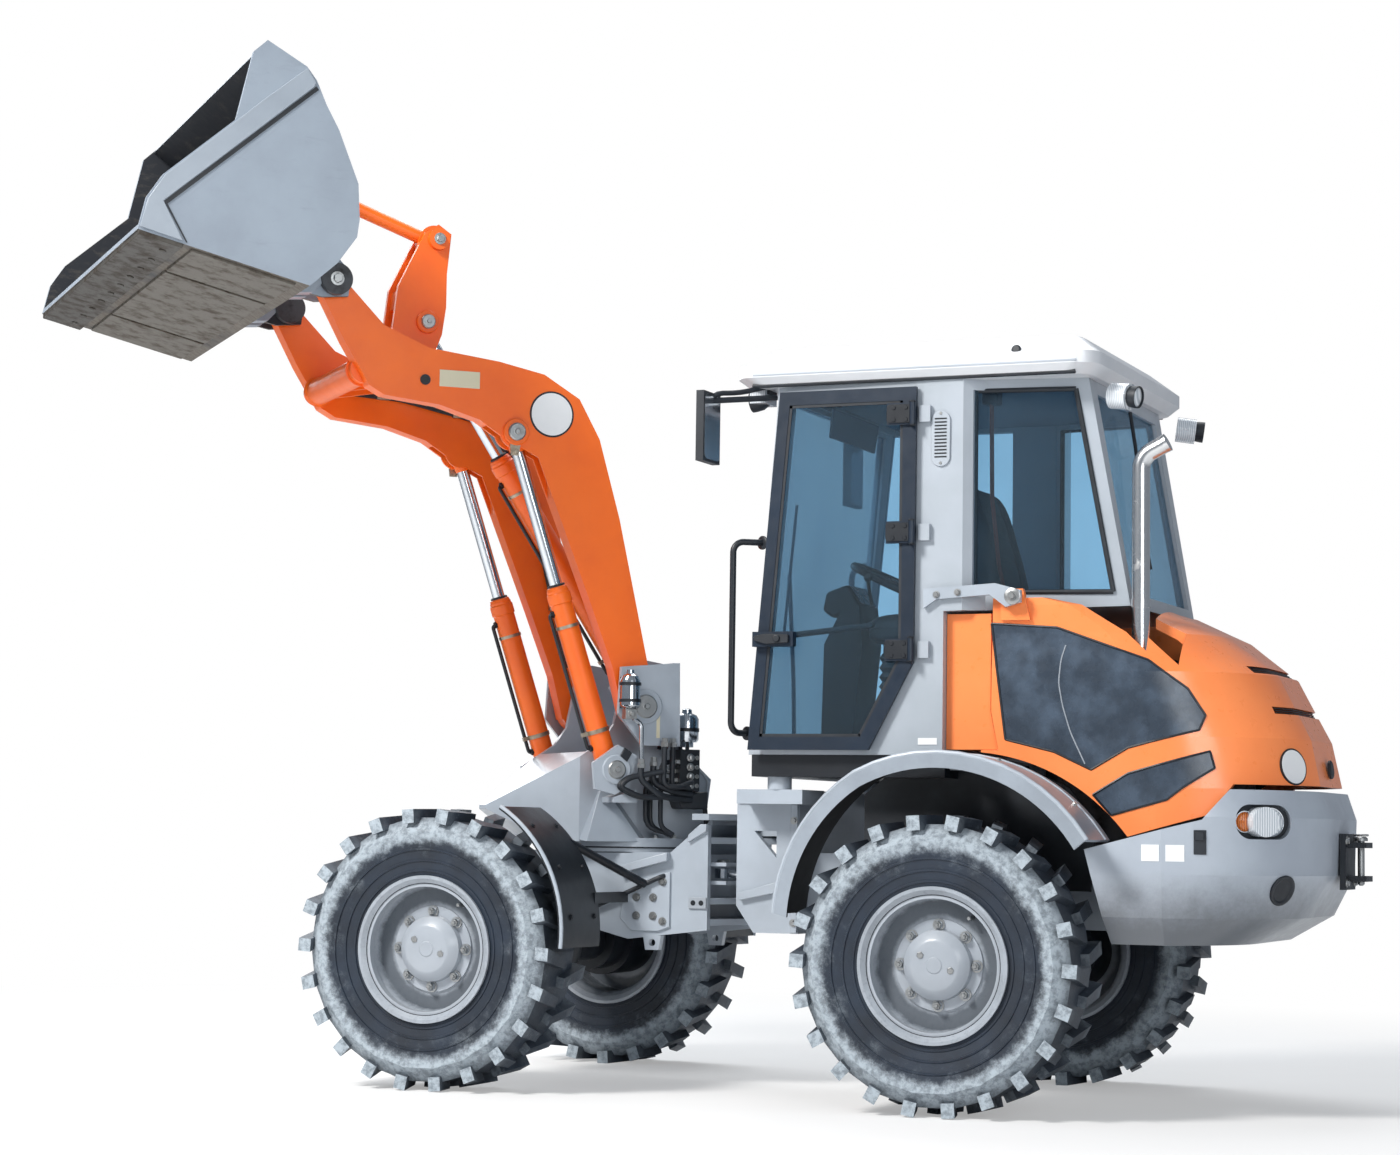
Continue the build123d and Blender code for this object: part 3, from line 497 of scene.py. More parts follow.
@dataclass(frozen=True)
class ArchPaint(Finish):
    """Fender paint: glossy outside, and black with undercoat on the faces that look at the wheel.

    Args:
        name: The material's name.
        colour: The outer paint.
        axle: The wheel's middle, for telling inside from outside.
        inside: Colour of the undercoat.
    """

    name: str
    colour: Colour
    axle: Point
    inside: Colour = (0.006, 0.007, 0.009)

    def draw(self, graph: Graph) -> None:
        """Write the paint and its undercoat.

        Args:
            graph: The material's node graph.
        """
        inner = graph.facing(self.axle, AROUND_AXLE, 0.10)
        colour = graph.mix(graph.blotches(*MOTTLE, 5.0, 6.0, 0.6), self.colour, scaled(self.colour, 0.80))
        dust = graph.blotches(0.52, 0.72, 60.0, 7.0, 0.75)
        colour = graph.over(colour, scaled(self.colour, 0.9, 0.015), dust, 0.25)
        splash = graph.blotches(0.58, 0.75, 30.0, 8.0, 0.8)
        dark = graph.over(self.inside, ROAD_FILM_AND_SHADE, splash, 0.35)
        rough = graph.sum("ADD", graph.level(graph.noise(22.0, 5.0), 0.28, 0.44), graph.times(inner, 0.35))
        height = graph.sum("ADD", graph.noise(380.0, 3.0), graph.times(inner, graph.noise(90.0, 6.0)))
        graph.shader(graph.mix(inner, colour, dark), rough, height, (0.2, 0.0008))


@dataclass(frozen=True)
class BucketPaint(Finish):
    """Bucket paint: clean outside, painted shade with rubbed steel inside, and worn to brown steel
    underneath.

    Args:
        name: The material's name.
        colour: The outer paint.
        shade: The outer paint where it has dulled.
        middle: The middle of the bucket's opening, for telling inside from outside.
        inside: Colour of the inner faces, a painted shade.
        steel: Colour of the worn underside.
        rust: Colour of the rust on it.
    """

    name: str
    colour: Colour
    shade: Colour
    middle: Point
    inside: Colour = (0.020, 0.023, 0.030)
    steel: Colour = (0.150, 0.135, 0.112)
    rust: Colour = (0.070, 0.048, 0.030)

    def draw(self, graph: Graph) -> None:
        """Write the paint, the painted shade inside and its worn floor.

        Args:
            graph: The material's node graph.
        """
        colour = graph.mix(graph.blotches(*MOTTLE, 2.6, 6.0, 0.6), self.colour, self.shade)
        streak = graph.blotches(0.55, 0.75, 5.0, 8.0, 0.72, graph.stretched((1.2, 1.2, 5.0)))
        colour = graph.over(colour, scaled(self.colour, 0.62), streak, 0.30)
        colour = graph.over(colour, self.rust, graph.blotches(0.66, 0.72, 34.0, 9.0, 0.8), 0.45)
        # Painted shade: faces that look into the bucket are darkened, with rubbed steel in streaks.
        inner = graph.facing(self.middle, (1.0, 1.0, 1.0), 0.10)
        rubbed = graph.blotches(0.50, 0.72, 7.0, 9.0, 0.75, graph.stretched((1.0, 1.0, 3.0)))
        colour = graph.mix(inner, colour, graph.over(self.inside, self.steel, rubbed, 0.5))
        under = graph.ramp(graph.part("Z", "Normal"), -0.80, -0.55, flip=True)
        under = graph.times(under, graph.sum("SUBTRACT", 1.0, inner))
        scrape = graph.noise(26.0, 9.0, 0.75, graph.stretched((2.2, 0.5, 1.0), (0.0, 0.0, 45.0)))
        floor = graph.mix(graph.ramp(scrape, 0.38, 0.66), self.steel, self.rust)
        # The worn floor is blotched with the same painted shade.
        floor = graph.mix(graph.blotches(0.45, 0.75, 3.0, 4.0), floor, self.inside)
        worn = graph.sum("MAXIMUM", under, inner)
        base = graph.level(graph.noise(22.0, 6.0, 0.6), 0.34, 0.54)
        rough = graph.sum("ADD", base, graph.times(worn, 0.16))
        height = graph.sum("ADD", graph.noise(240.0, 3.0), graph.times(scrape, worn))
        graph.shader(graph.mix(under, colour, floor), rough, height, (0.22, 0.0010), Specular_IOR_Level=0.45)


@dataclass(frozen=True)
class RimPaint(Finish):
    """Silver wheel paint: clean on the hub and the flange, with painted shade, the flange's shadow, darkening
    the dish between them.

    Args:
        name: The material's name.
        centre: The wheel's middle, for measuring out from the axle.
        colour: The clean paint.
        dish_shade: Colour of the painted shade in the dish.
        dish: Distances from the axle where the painted shade starts and ends.
    """

    name: str
    centre: Point
    colour: Colour = (0.34, 0.375, 0.42)
    dish_shade: Colour = (0.040, 0.052, 0.068)
    dish: Flat = (0.160, 0.236)

    def draw(self, graph: Graph) -> None:
        """Write the wheel's paint.

        Args:
            graph: The material's node graph.
        """
        reach = graph.distance_from(self.centre, AROUND_AXLE)
        ragged = graph.sum("ADD", reach, graph.level(graph.noise(24.0, 6.0, 0.7), -0.012, 0.012))
        near, far = self.dish
        # Painted shade: the dish between hub and flange is darkened as the flange's shadow.
        inside = graph.ramp(ragged, near, near + 0.022)
        mask = graph.times(inside, graph.ramp(ragged, far - 0.016, far, flip=True))
        colour = graph.mix(graph.blotches(*MOTTLE, 9.0, 5.0), self.colour, scaled(self.colour, 0.82))
        speck = graph.blotches(0.50, 0.68, 60.0, 7.0, 0.7)
        colour = graph.over(colour, scaled(self.colour, 0.45), speck, 0.35)
        colour = graph.over(colour, self.dish_shade, mask, 0.80)
        rough = graph.sum("ADD", graph.level(graph.noise(30.0, 5.0), 0.30, 0.50), graph.times(mask, 0.20))
        graph.shader(colour, rough, graph.noise(380.0, 3.0), (0.12, 0.0007), Coat_Weight=0.15)


@dataclass(frozen=True)
class Glazing(Finish):
    """Safety glass tinted blue to paint the sky's reflection, that lets the inside show.

    Args:
        name: The material's name.
        tint: Colour that light takes going through; its blue is painted sky reflection.
        film: Colour of the glossy layer where it hazes, a blue that paints the sky's reflection.
        clear: How much of the light goes through.
    """

    name: str
    tint: Colour
    film: Colour = (0.30, 0.42, 0.55)
    clear: float = 0.975

    def draw(self, graph: Graph) -> None:
        """Write the glass as a see-through sheet under a gloss that grows at a glancing angle.

        Args:
            graph: The material's node graph.
        """
        haze = graph.blotches(0.35, 0.8, 2.5, 6.0, 0.6, graph.stretched((1.0, 1.0, 0.5)))
        # Painted sky reflection: the see-through colour and the glossy layer are both tinted blue.
        through = graph.mix(haze, self.tint, scaled(self.tint, 0.93))
        body = {
            "Base Color": graph.mix(haze, scaled(self.tint, 0.5), self.film),
            "Roughness": graph.level(graph.noise(40.0, 4.0), 0.02, 0.06),
            "Coat Weight": 0.4,
        }
        edge = graph.times(graph.add("ShaderNodeFresnel", {"IOR": 1.45}).outputs[0], 0.6)
        share = graph.sum("ADD", graph.sum("ADD", graph.times(haze, 0.02), 1.0 - self.clear), edge)
        graph.blend(
            graph.sum("MINIMUM", share, 1.0),
            graph.add("ShaderNodeBsdfTransparent", {"Color": through}),
            graph.add("ShaderNodeBsdfPrincipled", body),
        )


@dataclass(frozen=True)
class Lens(Finish):
    """A moulded lamp lens over its reflector, with fine vertical flutes darkened by painted shade.

    Args:
        name: The material's name.
        colour: Colour of the lens.
        depth: Colour of the painted shade in its flutes.
    """

    name: str
    colour: Colour
    depth: Colour

    def draw(self, graph: Graph) -> None:
        """Write the lens.

        Args:
            graph: The material's node graph.
        """
        inputs = {"Vector": graph.place(), "Scale": 45.0, "Distortion": 0.4}
        flutes = graph.add("ShaderNodeTexWave", inputs, bands_direction="X").outputs["Fac"]
        rough = graph.level(graph.noise(60.0, 3.0), 0.05, 0.16)
        # Painted shade: the flutes are darkened in bands.
        colour = graph.mix(flutes, self.colour, self.depth)
        graph.shader(colour, rough, flutes, (0.35, 0.002), Coat_Weight=0.8)


ORANGE = Paint("orange_paint_coat", (1.0, 0.165, 0.006), (0.90, 0.130, 0.005), dusty=0.08, scuffs=0.05,
               gloss=0.36, coat=0.12)
HOOD_ORANGE = Paint("hood_orange_coat", (1.0, 0.285, 0.085), (0.96, 0.245, 0.065), dusty=0.10, scuffs=0.05,
                    gloss=0.26, coat=0.4)
GREY = Paint("grey_paint_coat", (0.41, 0.46, 0.52), (0.33, 0.37, 0.42), dusty=0.30, scuffs=0.25)
# The bucket's two greys are darker copies of the machine's grey paint: painted shade.
BUCKET_GREY = Paint("bucket_trim_coat", (0.30, 0.345, 0.40), (0.25, 0.29, 0.34), scuffs=0.30, gloss=0.40)
BUCKET_COAT = BucketPaint("bucket_paint_coat", (0.285, 0.335, 0.395), (0.24, 0.28, 0.335),
                          tuple(tower_point(1.80, 0.0, 3.25)))
WEAR = Steel("wear_plate_skin", (0.155, 0.140, 0.118), (0.060, 0.042, 0.028), 0.6, 0.5, (1.0, 3.0, 9.0), 0.35)
WHITE = Paint("white_roof_coat", (0.72, 0.74, 0.77), (0.66, 0.68, 0.71), dusty=0.10, scuffs=0.03)
SILVER = Paint("wheel_silver_coat", (0.47, 0.51, 0.56), (0.38, 0.42, 0.46), dusty=0.35, gloss=0.36)
BLACK = Paint("black_paint_coat", (0.004, 0.006, 0.010), (0.007, 0.011, 0.017), (0.16, 0.19, 0.23), 0.05, 0.0,
              0.38, 0.0)
DOOR_BLUE = Paint("door_frame_coat", (0.004, 0.012, 0.026), (0.006, 0.017, 0.036), (0.14, 0.19, 0.25), 0.04,
                  0.0, 0.34, 0.1)
WORN = Steel("worn_steel_skin", (0.085, 0.078, 0.068), (0.045, 0.032, 0.022), 0.7, 0.45, (1.0, 1.0, 9.0), 0.4)
CHROME = Steel("chrome_rod_skin", (0.66, 0.70, 0.74), (0.42, 0.45, 0.48), 0.08, 0.09)
CAST = Paint("cast_grey_coat", (0.30, 0.33, 0.37), (0.20, 0.22, 0.25), dusty=0.4, scuffs=0.3, gloss=0.5)
ENGINE = Steel("engine_cast_skin", (0.12, 0.12, 0.13), (0.05, 0.045, 0.04), 0.5, 0.5, (3.0, 1.0, 1.0), 0.6)
PIN = Steel("pin_steel_skin", (0.42, 0.43, 0.43), (0.14, 0.11, 0.085), 0.35, 0.32)
DARK_PIN = Steel("dark_pin_skin", (0.075, 0.078, 0.085), (0.030, 0.024, 0.020), 0.5, 0.45, metallic=0.6)
EXHAUST = Steel("exhaust_steel_skin", (0.76, 0.77, 0.78), (0.46, 0.44, 0.42), 0.25, 0.18, (1.0, 1.0, 8.0))
DARK = Plastic("dark_plastic_skin", (0.008, 0.011, 0.016), (0.055, 0.070, 0.090), 0.22)
PANEL = Plastic("dark_panel_skin", (0.030, 0.043, 0.062), (0.085, 0.12, 0.17), 0.75, 0.24, 300.0)
VINYL = Plastic("seat_vinyl_skin", (0.020, 0.022, 0.026), (0.06, 0.065, 0.07), 0.5, 0.62, 420.0)
# Pale blue: painted sky reflection.
GLASS = Glazing("cab_glass_sheet", (0.70, 0.845, 0.935))
LENS = Lens("clear_lens_sheet", (0.82, 0.85, 0.88), (0.45, 0.50, 0.55))
HUB_SILVER = Paint("hub_silver_coat", (0.36, 0.395, 0.44), (0.30, 0.33, 0.37), scuffs=0.2, gloss=0.34)
TOWER_PLATE = Paint("tower_plate_coat", (0.33, 0.38, 0.44), (0.28, 0.32, 0.37), dusty=0.30, scuffs=0.2)
CAB_GREY = Paint("cab_grey_coat", (0.40, 0.44, 0.49), (0.35, 0.39, 0.43), dusty=0.12, scuffs=0.06)
ROOF_SHADE = Paint("roof_shade_coat", (0.42, 0.46, 0.52), (0.36, 0.40, 0.45), dusty=0.1, scuffs=0.0)
SIGN_WHITE = Paint("blank_sign_skin", (0.86, 0.87, 0.88), (0.78, 0.79, 0.80), dusty=0.12, scuffs=0.06,
                   gloss=0.40, coat=0.1)
CREAM = Paint("blank_plate_skin", (0.74, 0.68, 0.50), (0.66, 0.60, 0.43), dusty=0.15, scuffs=0.08,
              gloss=0.45, coat=0.1)
BAND_STEEL = Steel("band_steel_skin", (0.42, 0.36, 0.28), (0.20, 0.13, 0.07), 0.55, 0.38)
LINER = Plastic("headliner_skin", (0.16, 0.19, 0.23), (0.22, 0.25, 0.29), 0.4, 0.75, 500.0)
BELT = Plastic("belt_webbing_skin", (0.22, 0.045, 0.030), (0.30, 0.09, 0.06), 0.4, 0.62, 900.0)
AMBER = Lens("amber_lens_sheet", (0.75, 0.20, 0.02), (0.40, 0.08, 0.01))
# The tail gets painted shade towards its bottom.
TAIL_GREY = Paint("tail_grey_coat", (0.42, 0.47, 0.53), (0.36, 0.40, 0.46), scuffs=0.18, gloss=0.30, coat=0.3,
                  grime=(0.64, 0.90))
REAR_ARCH_COAT = ArchPaint("rear_fender_coat", (0.30, 0.34, 0.39), (0.0, 0.0, AXLE_HEIGHT))
FRONT_ARCH_COAT = ArchPaint("front_fender_coat", (0.008, 0.011, 0.016), (WHEELBASE, 0.0, AXLE_HEIGHT))

SLOT_FINISH: dict[str, Finish] = {
    "orange_paint": ORANGE,
    "grey_paint": GREY,
    "white_paint": WHITE,
    "rim_paint": SILVER,
    "black_paint": BLACK,
    "dark_plastic": DARK,
    "dark_panel": PANEL,
    "worn_steel": WORN,
    "polished_rod": CHROME,
    "cast_grey": CAST,
    "engine_metal": ENGINE,
    "glass": GLASS,
    "lamp_glass": LENS,
    "seat_fabric": VINYL,
    "pin_steel": PIN,
    "exhaust_metal": EXHAUST,
}
NODE_FINISH: dict[str, Finish] = {
    "bucket": BUCKET_COAT,
    "bucket_pins": DARK_PIN,
    "link_pin": ORANGE,
    "hood": HOOD_ORANGE,
    "engine_panels": HOOD_ORANGE,
    "door_frame": DOOR_BLUE,
    "cab_frame": CAB_GREY,
    "rear_fenders": REAR_ARCH_COAT,
    "front_fenders": FRONT_ARCH_COAT,
    "counterweight": TAIL_GREY,
}
OTHER_FINISHES: dict[str, tuple[Finish, ...]] = {
    "grey_paint": (BUCKET_GREY, TOWER_PLATE, CAB_GREY),
    "white_paint": (ROOF_SHADE, SIGN_WHITE, CREAM),
    "rim_paint": (HUB_SILVER,),
    "worn_steel": (WEAR,),
    "pin_steel": (BAND_STEEL,),
    "dark_plastic": (LINER,),
    "seat_fabric": (BELT,),
    "lamp_glass": (AMBER,),
}
FINISH_SLOT = {finish.name: slot for slot, finish in SLOT_FINISH.items()}
FINISH_SLOT.update({finish.name: slot for slot, others in OTHER_FINISHES.items() for finish in others})


# Shapes


CURVE_SHARES = (0.0, 0.25, 0.5, 0.75, 1.0)
LEAST_RADIUS = 0.0004


class Shaper:
    """Collects the faces of one piece and turns them into an object."""

    def __init__(self, name: str, mesh: Optional[bmesh.types.BMesh] = None) -> None:
        """Start a piece, empty or from a mesh."""
        self.name = name
        self.mesh = mesh or bmesh.new()

    def loft(self, rings: Sequence[Sequence[Vector]], capped: bool = True) -> "Shaper":
        """Join closed rings of as many points each, and close both ends.

        Args:
            rings: The rings in order, each a list of points.
            capped: Whether the first and last ring are filled.

        Returns:
            This shaper.
        """
        made = [[self.mesh.verts.new(point) for point in ring] for ring in rings]
        for first, second in zip(made, made[1:]):
            for index in range(len(first)):
                after = (index + 1) % len(first)
                self.mesh.faces.new((first[index], first[after], second[after], second[index]))
        if capped:
            self.mesh.faces.new(made[0][::-1])
            self.mesh.faces.new(made[-1])
        return self

    def turned(
        self, centre: Vector, axis: Vector, profile: Sequence[Flat], steps: int = 32, ring: bool = False
    ) -> "Shaper":
        """Add a turned form.

        Args:
            centre: Where the axis starts.
            axis: The axis's direction.
            profile: Pairs of distance along the axis and radius.
            steps: Points round the axis.
            ring: Whether the profile closes on itself, as on a washer.

        Returns:
            This shaper.
        """
        axis = axis.normalized()
        side = axis.orthogonal().normalized()
        across = axis.cross(side)
        turns = [FULL_TURN * step / steps for step in range(steps)]
        spokes = [side * math.cos(turn) + across * math.sin(turn) for turn in turns]
        rounds = [
            [centre + axis * along + spoke * max(r, LEAST_RADIUS) for spoke in spokes]
            for along, r in profile
        ]
        return self.loft([*rounds, rounds[0]] if ring else rounds, not ring)

    def slab(self, outline: Sequence[Vector], thick: Vector) -> "Shaper":
        """Add a plate: an outline pushed through its thickness."""
        return self.loft([list(outline), [point + thick for point in outline]])

    def block(self, low: Point, high: Point) -> "Shaper":
        """Add a small rectangular body between two corners."""
        corners = oblong(low[0], low[1], high[0], high[1])
        return self.slab([Vector((x, y, low[2])) for x, y in corners], UP * (high[2] - low[2]))

    def tube(self, points: Sequence[Vector], radius: float, bend: float = 0.03, steps: int = 10) -> "Shaper":
        """Add a round run through points, its corners eased.

        Args:
            points: The run's corners.
            radius: The run's radius.
            bend: How far from a corner its bend starts.
            steps: Points round the run.

        Returns:
            This shaper.
        """
        path = [points[0]]
        for before, corner, after in zip(points, points[1:], points[2:]):
            reach = min(bend, (corner - before).length * 0.45, (after - corner).length * 0.45)
            start, end = (corner + (other - corner).normalized() * reach for other in (before, after))
            for share in CURVE_SHARES:
                path.append(start.lerp(corner, share).lerp(corner.lerp(end, share), share))
        path.append(points[-1])
        side = (path[1] - path[0]).orthogonal().normalized()
        rings = []
        for index, point in enumerate(path):
            ahead = (path[min(index + 1, len(path) - 1)] - path[max(index - 1, 0)]).normalized()
            side = (side - ahead * side.dot(ahead)).normalized()
            across = ahead.cross(side)
            turns = (FULL_TURN * step / steps for step in range(steps))
            spokes = (side * math.cos(turn) + across * math.sin(turn) for turn in turns)
            rings.append([point + spoke * radius for spoke in spokes])
        return self.loft(rings)

    def bolt(self, centre: Vector, axis: Vector, radius: float, height: float) -> "Shaper":
        """Add a hexagon head on its washer.

        Args:
            centre: The middle of its seat.
            axis: Which way it points.
            radius: Its radius.
            height: Its height.

        Returns:
            The shaper itself.
        """
        washer = ((0.0, radius * 1.45), (height * 0.25, radius * 1.45), (height * 0.27, radius))
        head = ((0.0, radius), (height * 0.6, radius), (height * 0.75, radius * 0.86))
        return self.turned(centre, axis, washer, 20).turned(
            centre + axis.normalized() * height * 0.25, axis, head, 6
        )

    def made(
        self, finish: Finish, body: str, bevel: float = 0.0, slot: str = "", soft: float = SOFT_EDGE_DEGREES
    ) -> bpy.types.Object:
        """Turn the faces into an object that rides on a body.

        Args:
            finish: What it is made of.
            body: The CAD body that carries it.
            bevel: Width of its rounded edges, in metres.
            slot: Not used.
            soft: Sharpest angle still shaded as one surface, in degrees.

        Returns:
            The finished object.
        """
        bmesh.ops.recalc_face_normals(self.mesh, faces=self.mesh.faces)
        mesh = bpy.data.meshes.new(self.name)
        self.mesh.to_mesh(mesh)
        self.mesh.free()
        mesh.materials.append(finish.material())
        mesh.shade_smooth()
        mesh.set_sharp_from_angle(angle=math.radians(soft))
        obj = bpy.data.objects.new(self.name, mesh)
        bpy.context.scene.collection.objects.link(obj)
        if bevel:
            round_over = obj.modifiers.new("rounded_edges", "BEVEL")
            round_over.width = bevel
            round_over.segments = 2
            round_over.limit_method = "ANGLE"
            round_over.angle_limit = math.radians(soft)
        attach(obj, body)
        LOG.info("built %s: %d faces on %s", self.name, len(mesh.polygons), body)
        return obj


def oblong(x0: float, z0: float, x1: float, z1: float) -> tuple[Flat, ...]:
    """The corners of a rectangle."""
    return ((x0, z0), (x1, z0), (x1, z1), (x0, z1))


def upright(corners: Sequence[Flat], y: float) -> list[Vector]:
    """Places along the machine and up, laid in the plane at a Y."""
    return [Vector((x, y, z)) for x, z in corners]


def tower_face(corners: Sequence[Flat], left: float) -> list[Vector]:
    """Places ahead and up, laid in the tower's plane at a distance to its left."""
    return [tower_point(forward, left, height) for forward, height in corners]


def run(*points: Point) -> list[Vector]:
    """Places in the machine's frame."""
    return [Vector(point) for point in points]


def tower_run(*points: Point) -> list[Vector]:
    """Places in the tower's directions."""
    return [tower_point(*point) for point in points]


def cap(radius: float, straight: float, height: float, top: float, hole: float = 0.0) -> tuple[Flat, ...]:
    """The profile of a round head with a sloped rim."""
    return ((0.0, radius), (straight, radius), (height, top), (height, hole))


def band(radius: float, proud: float, wide: float) -> tuple[Flat, ...]:
    """The closed profile of a flat band round a cylinder."""
    return ((0.0, radius), (0.0, radius + proud), (wide, radius + proud), (wide, radius))


def arch_points(ends: Sequence[Flat], steps: int) -> list[Flat]:
    """Points of the arc through three points.

    Args:
        ends: The arc's first, middle and last point.
        steps: Number of runs it is cut into.

    Returns:
        The points, in order.
    """
    (ax, az), (bx, bz), (cx, cz) = ends
    twice = 2 * (ax * (bz - cz) + bx * (cz - az) + cx * (az - bz))
    a, b, c = ax * ax + az * az, bx * bx + bz * bz, cx * cx + cz * cz
    x = (a * (bz - cz) + b * (cz - az) + c * (az - bz)) / twice
    z = (a * (cx - bx) + b * (ax - cx) + c * (bx - ax)) / twice
    first, middle, last = (math.atan2(pz - z, px - x) for px, pz in ends)
    sweep = (last - first) % FULL_TURN
    if (middle - first) % FULL_TURN > sweep:
        sweep -= FULL_TURN
    radius = math.hypot(ax - x, az - z)
    turns = (first + sweep * step / steps for step in range(steps + 1))
    return [(x + radius * math.cos(turn), z + radius * math.sin(turn)) for turn in turns]


def rounded_outline(low: float, high: float, bottom: float, top: float, radius: float) -> list[Flat]:
    """A rectangle's outline with rounded corners, as pairs across and up.

    Args:
        low: Its least first measure.
        high: Its greatest first measure.
        bottom: Its lowest height.
        top: Its highest height.
        radius: Radius of its corners.

    Returns:
        The outline's places.
    """
    points = []
    for index, (across, up) in enumerate(((high, top), (low, top), (low, bottom), (high, bottom))):
        middle_across = across - math.copysign(radius, across - (low + high) / 2)
        middle_up = up - math.copysign(radius, up - (bottom + top) / 2)
        for step in range(5):
            turn = math.pi / 2 * (index + step / 4)
            points.append((middle_across + radius * math.cos(turn), middle_up + radius * math.sin(turn)))
    return points


def capsule(steps: int, reach: float, radius: float) -> list[Flat]:
    """The outline of a long oval: two half circles whose middles lie a reach from its own.

    Args:
        steps: Number of places.
        reach: Half the distance between its two round ends.
        radius: Radius of its ends.

    Returns:
        The outline's places.
    """
    turns = (FULL_TURN * step / steps for step in range(steps))
    return [
        ((reach if math.cos(turn) >= 0 else -reach) + radius * math.cos(turn), radius * math.sin(turn))
        for turn in turns
    ]


def split_outline(corners: Sequence[Flat], reach: float) -> list[Flat]:
    """A closed outline with more points on its long edges.

    Args:
        corners: The outline's corners.
        reach: About how far apart the points lie on a long edge.

    Returns:
        The outline's places.
    """
    points = []
    for (x0, z0), (x1, z1) in zip(corners, (*corners[1:], corners[0])):
        count = max(1, int(math.dist((x0, z0), (x1, z1)) / reach))
        points.extend((x0 + (x1 - x0) * step / count, z0 + (z1 - z0) * step / count) for step in range(count))
    return points


@dataclass(frozen=True)
class Shell:
    """A lofted body with a rounded tail, known by its level outlines.

    Args:
        sections: Height, end of the straight side, rear, half width and half of the flat rear, of each.
    """

    sections: tuple[tuple[float, ...], ...]

    def outline(self, height: float) -> tuple[float, ...]:
        """The level outline's four measures at a height.

        Args:
            height: The height.

        Returns:
            The end of the straight side, the rear, the half width and half of the flat rear.
        """
        for lower, upper in zip(self.sections, self.sections[1:]):
            if lower[0] <= height <= upper[0]:
                share = (height - lower[0]) / (upper[0] - lower[0])
                return tuple(a + (b - a) * share for a, b in zip(lower[1:], upper[1:]))
        return self.sections[-1][1:]

    def curve(self, height: float, steps: int) -> list[Flat]:
        """The left half of the rounded tail at a height.

        Args:
            height: The height of the section.
            steps: Number of stretches.

        Returns:
            The curve's places.
        """
        straight, rear, half, flat = self.outline(height)
        shoulder = straight + (rear - straight) * 0.68
        return arch_points(((straight, half), (shoulder, half * 0.76), (rear, flat)), steps)

    def width(self, x: float, height: float) -> float:
        """Half width of the outer face at a place.

        Args:
            x: How far ahead.
            height: How high.

        Returns:
            Half the shell's width there.
        """
        straight, _, half, flat = self.outline(height)
        if x >= straight:
            return half
        curve = self.curve(height, 24)
        for (x0, y0), (x1, y1) in zip(curve, curve[1:]):
            if x1 <= x <= x0:
                return y0 + (y1 - y0) * (x0 - x) / max(x0 - x1, 1e-9)
        return flat

    def laid(self, corners: Sequence[Flat], side: float, proud: float = 0.0) -> list[Vector]:
        """Points of a side outline laid on the curved face."""
        return [Vector((x, side * (self.width(x, z) + proud), z)) for x, z in corners]

    def tail_line(self, height: float, reach: float, inset: float) -> list[Vector]:
        """A level line round the tail, from one side to the other, set in from its face."""
        near = [(x + inset, y) for x, y in self.curve(height, 20) if y < reach]
        return run(*((x, y, height) for x, y in near), *((x, -y, height) for x, y in reversed(near)))

    def frame(self, x: float, height: float, side: float) -> tuple[Vector, Vector]:
        """A point on one side, and the direction in which the face looks there.

        Args:
            x: The point's place along the machine.
            height: The point's height.
            side: 1 for the left side and -1 for the right.

        Returns:
            The point and the outward direction.
        """
        reach = 0.02
        ahead, behind = (self.width(x + d, height) for d in (reach, -reach))
        above, below = (self.width(x, height + d) for d in (reach, -reach))
        slope = (ahead - behind) / (2 * reach), (above - below) / (2 * reach)
        return self.laid(((x, height),), side)[0], Vector((-slope[0], side, -slope[1])).normalized()


HOOD = Shell(
    (
        (0.900, -0.700, -1.212, 0.600, 0.200),
        (1.150, -0.700, -1.198, 0.602, 0.200),
        (1.330, -0.680, -1.160, 0.602, 0.190),
        (1.560, -0.620, -1.040, 0.596, 0.170),
        (1.700, -0.520, -0.860, 0.586, 0.140),
        (1.800, -0.380, -0.640, 0.586, 0.120),
    )
)
COUNTERWEIGHT = Shell(
    (
        (0.606, -0.760, -0.980, 0.715, 0.250),
        (0.700, -0.760, -1.150, 0.750, 0.220),
        (0.850, -0.760, -1.232, 0.762, 0.200),
        (1.050, -0.760, -1.240, 0.762, 0.200),
        (1.146, -0.780, -1.205, 0.742, 0.200),
    )
)


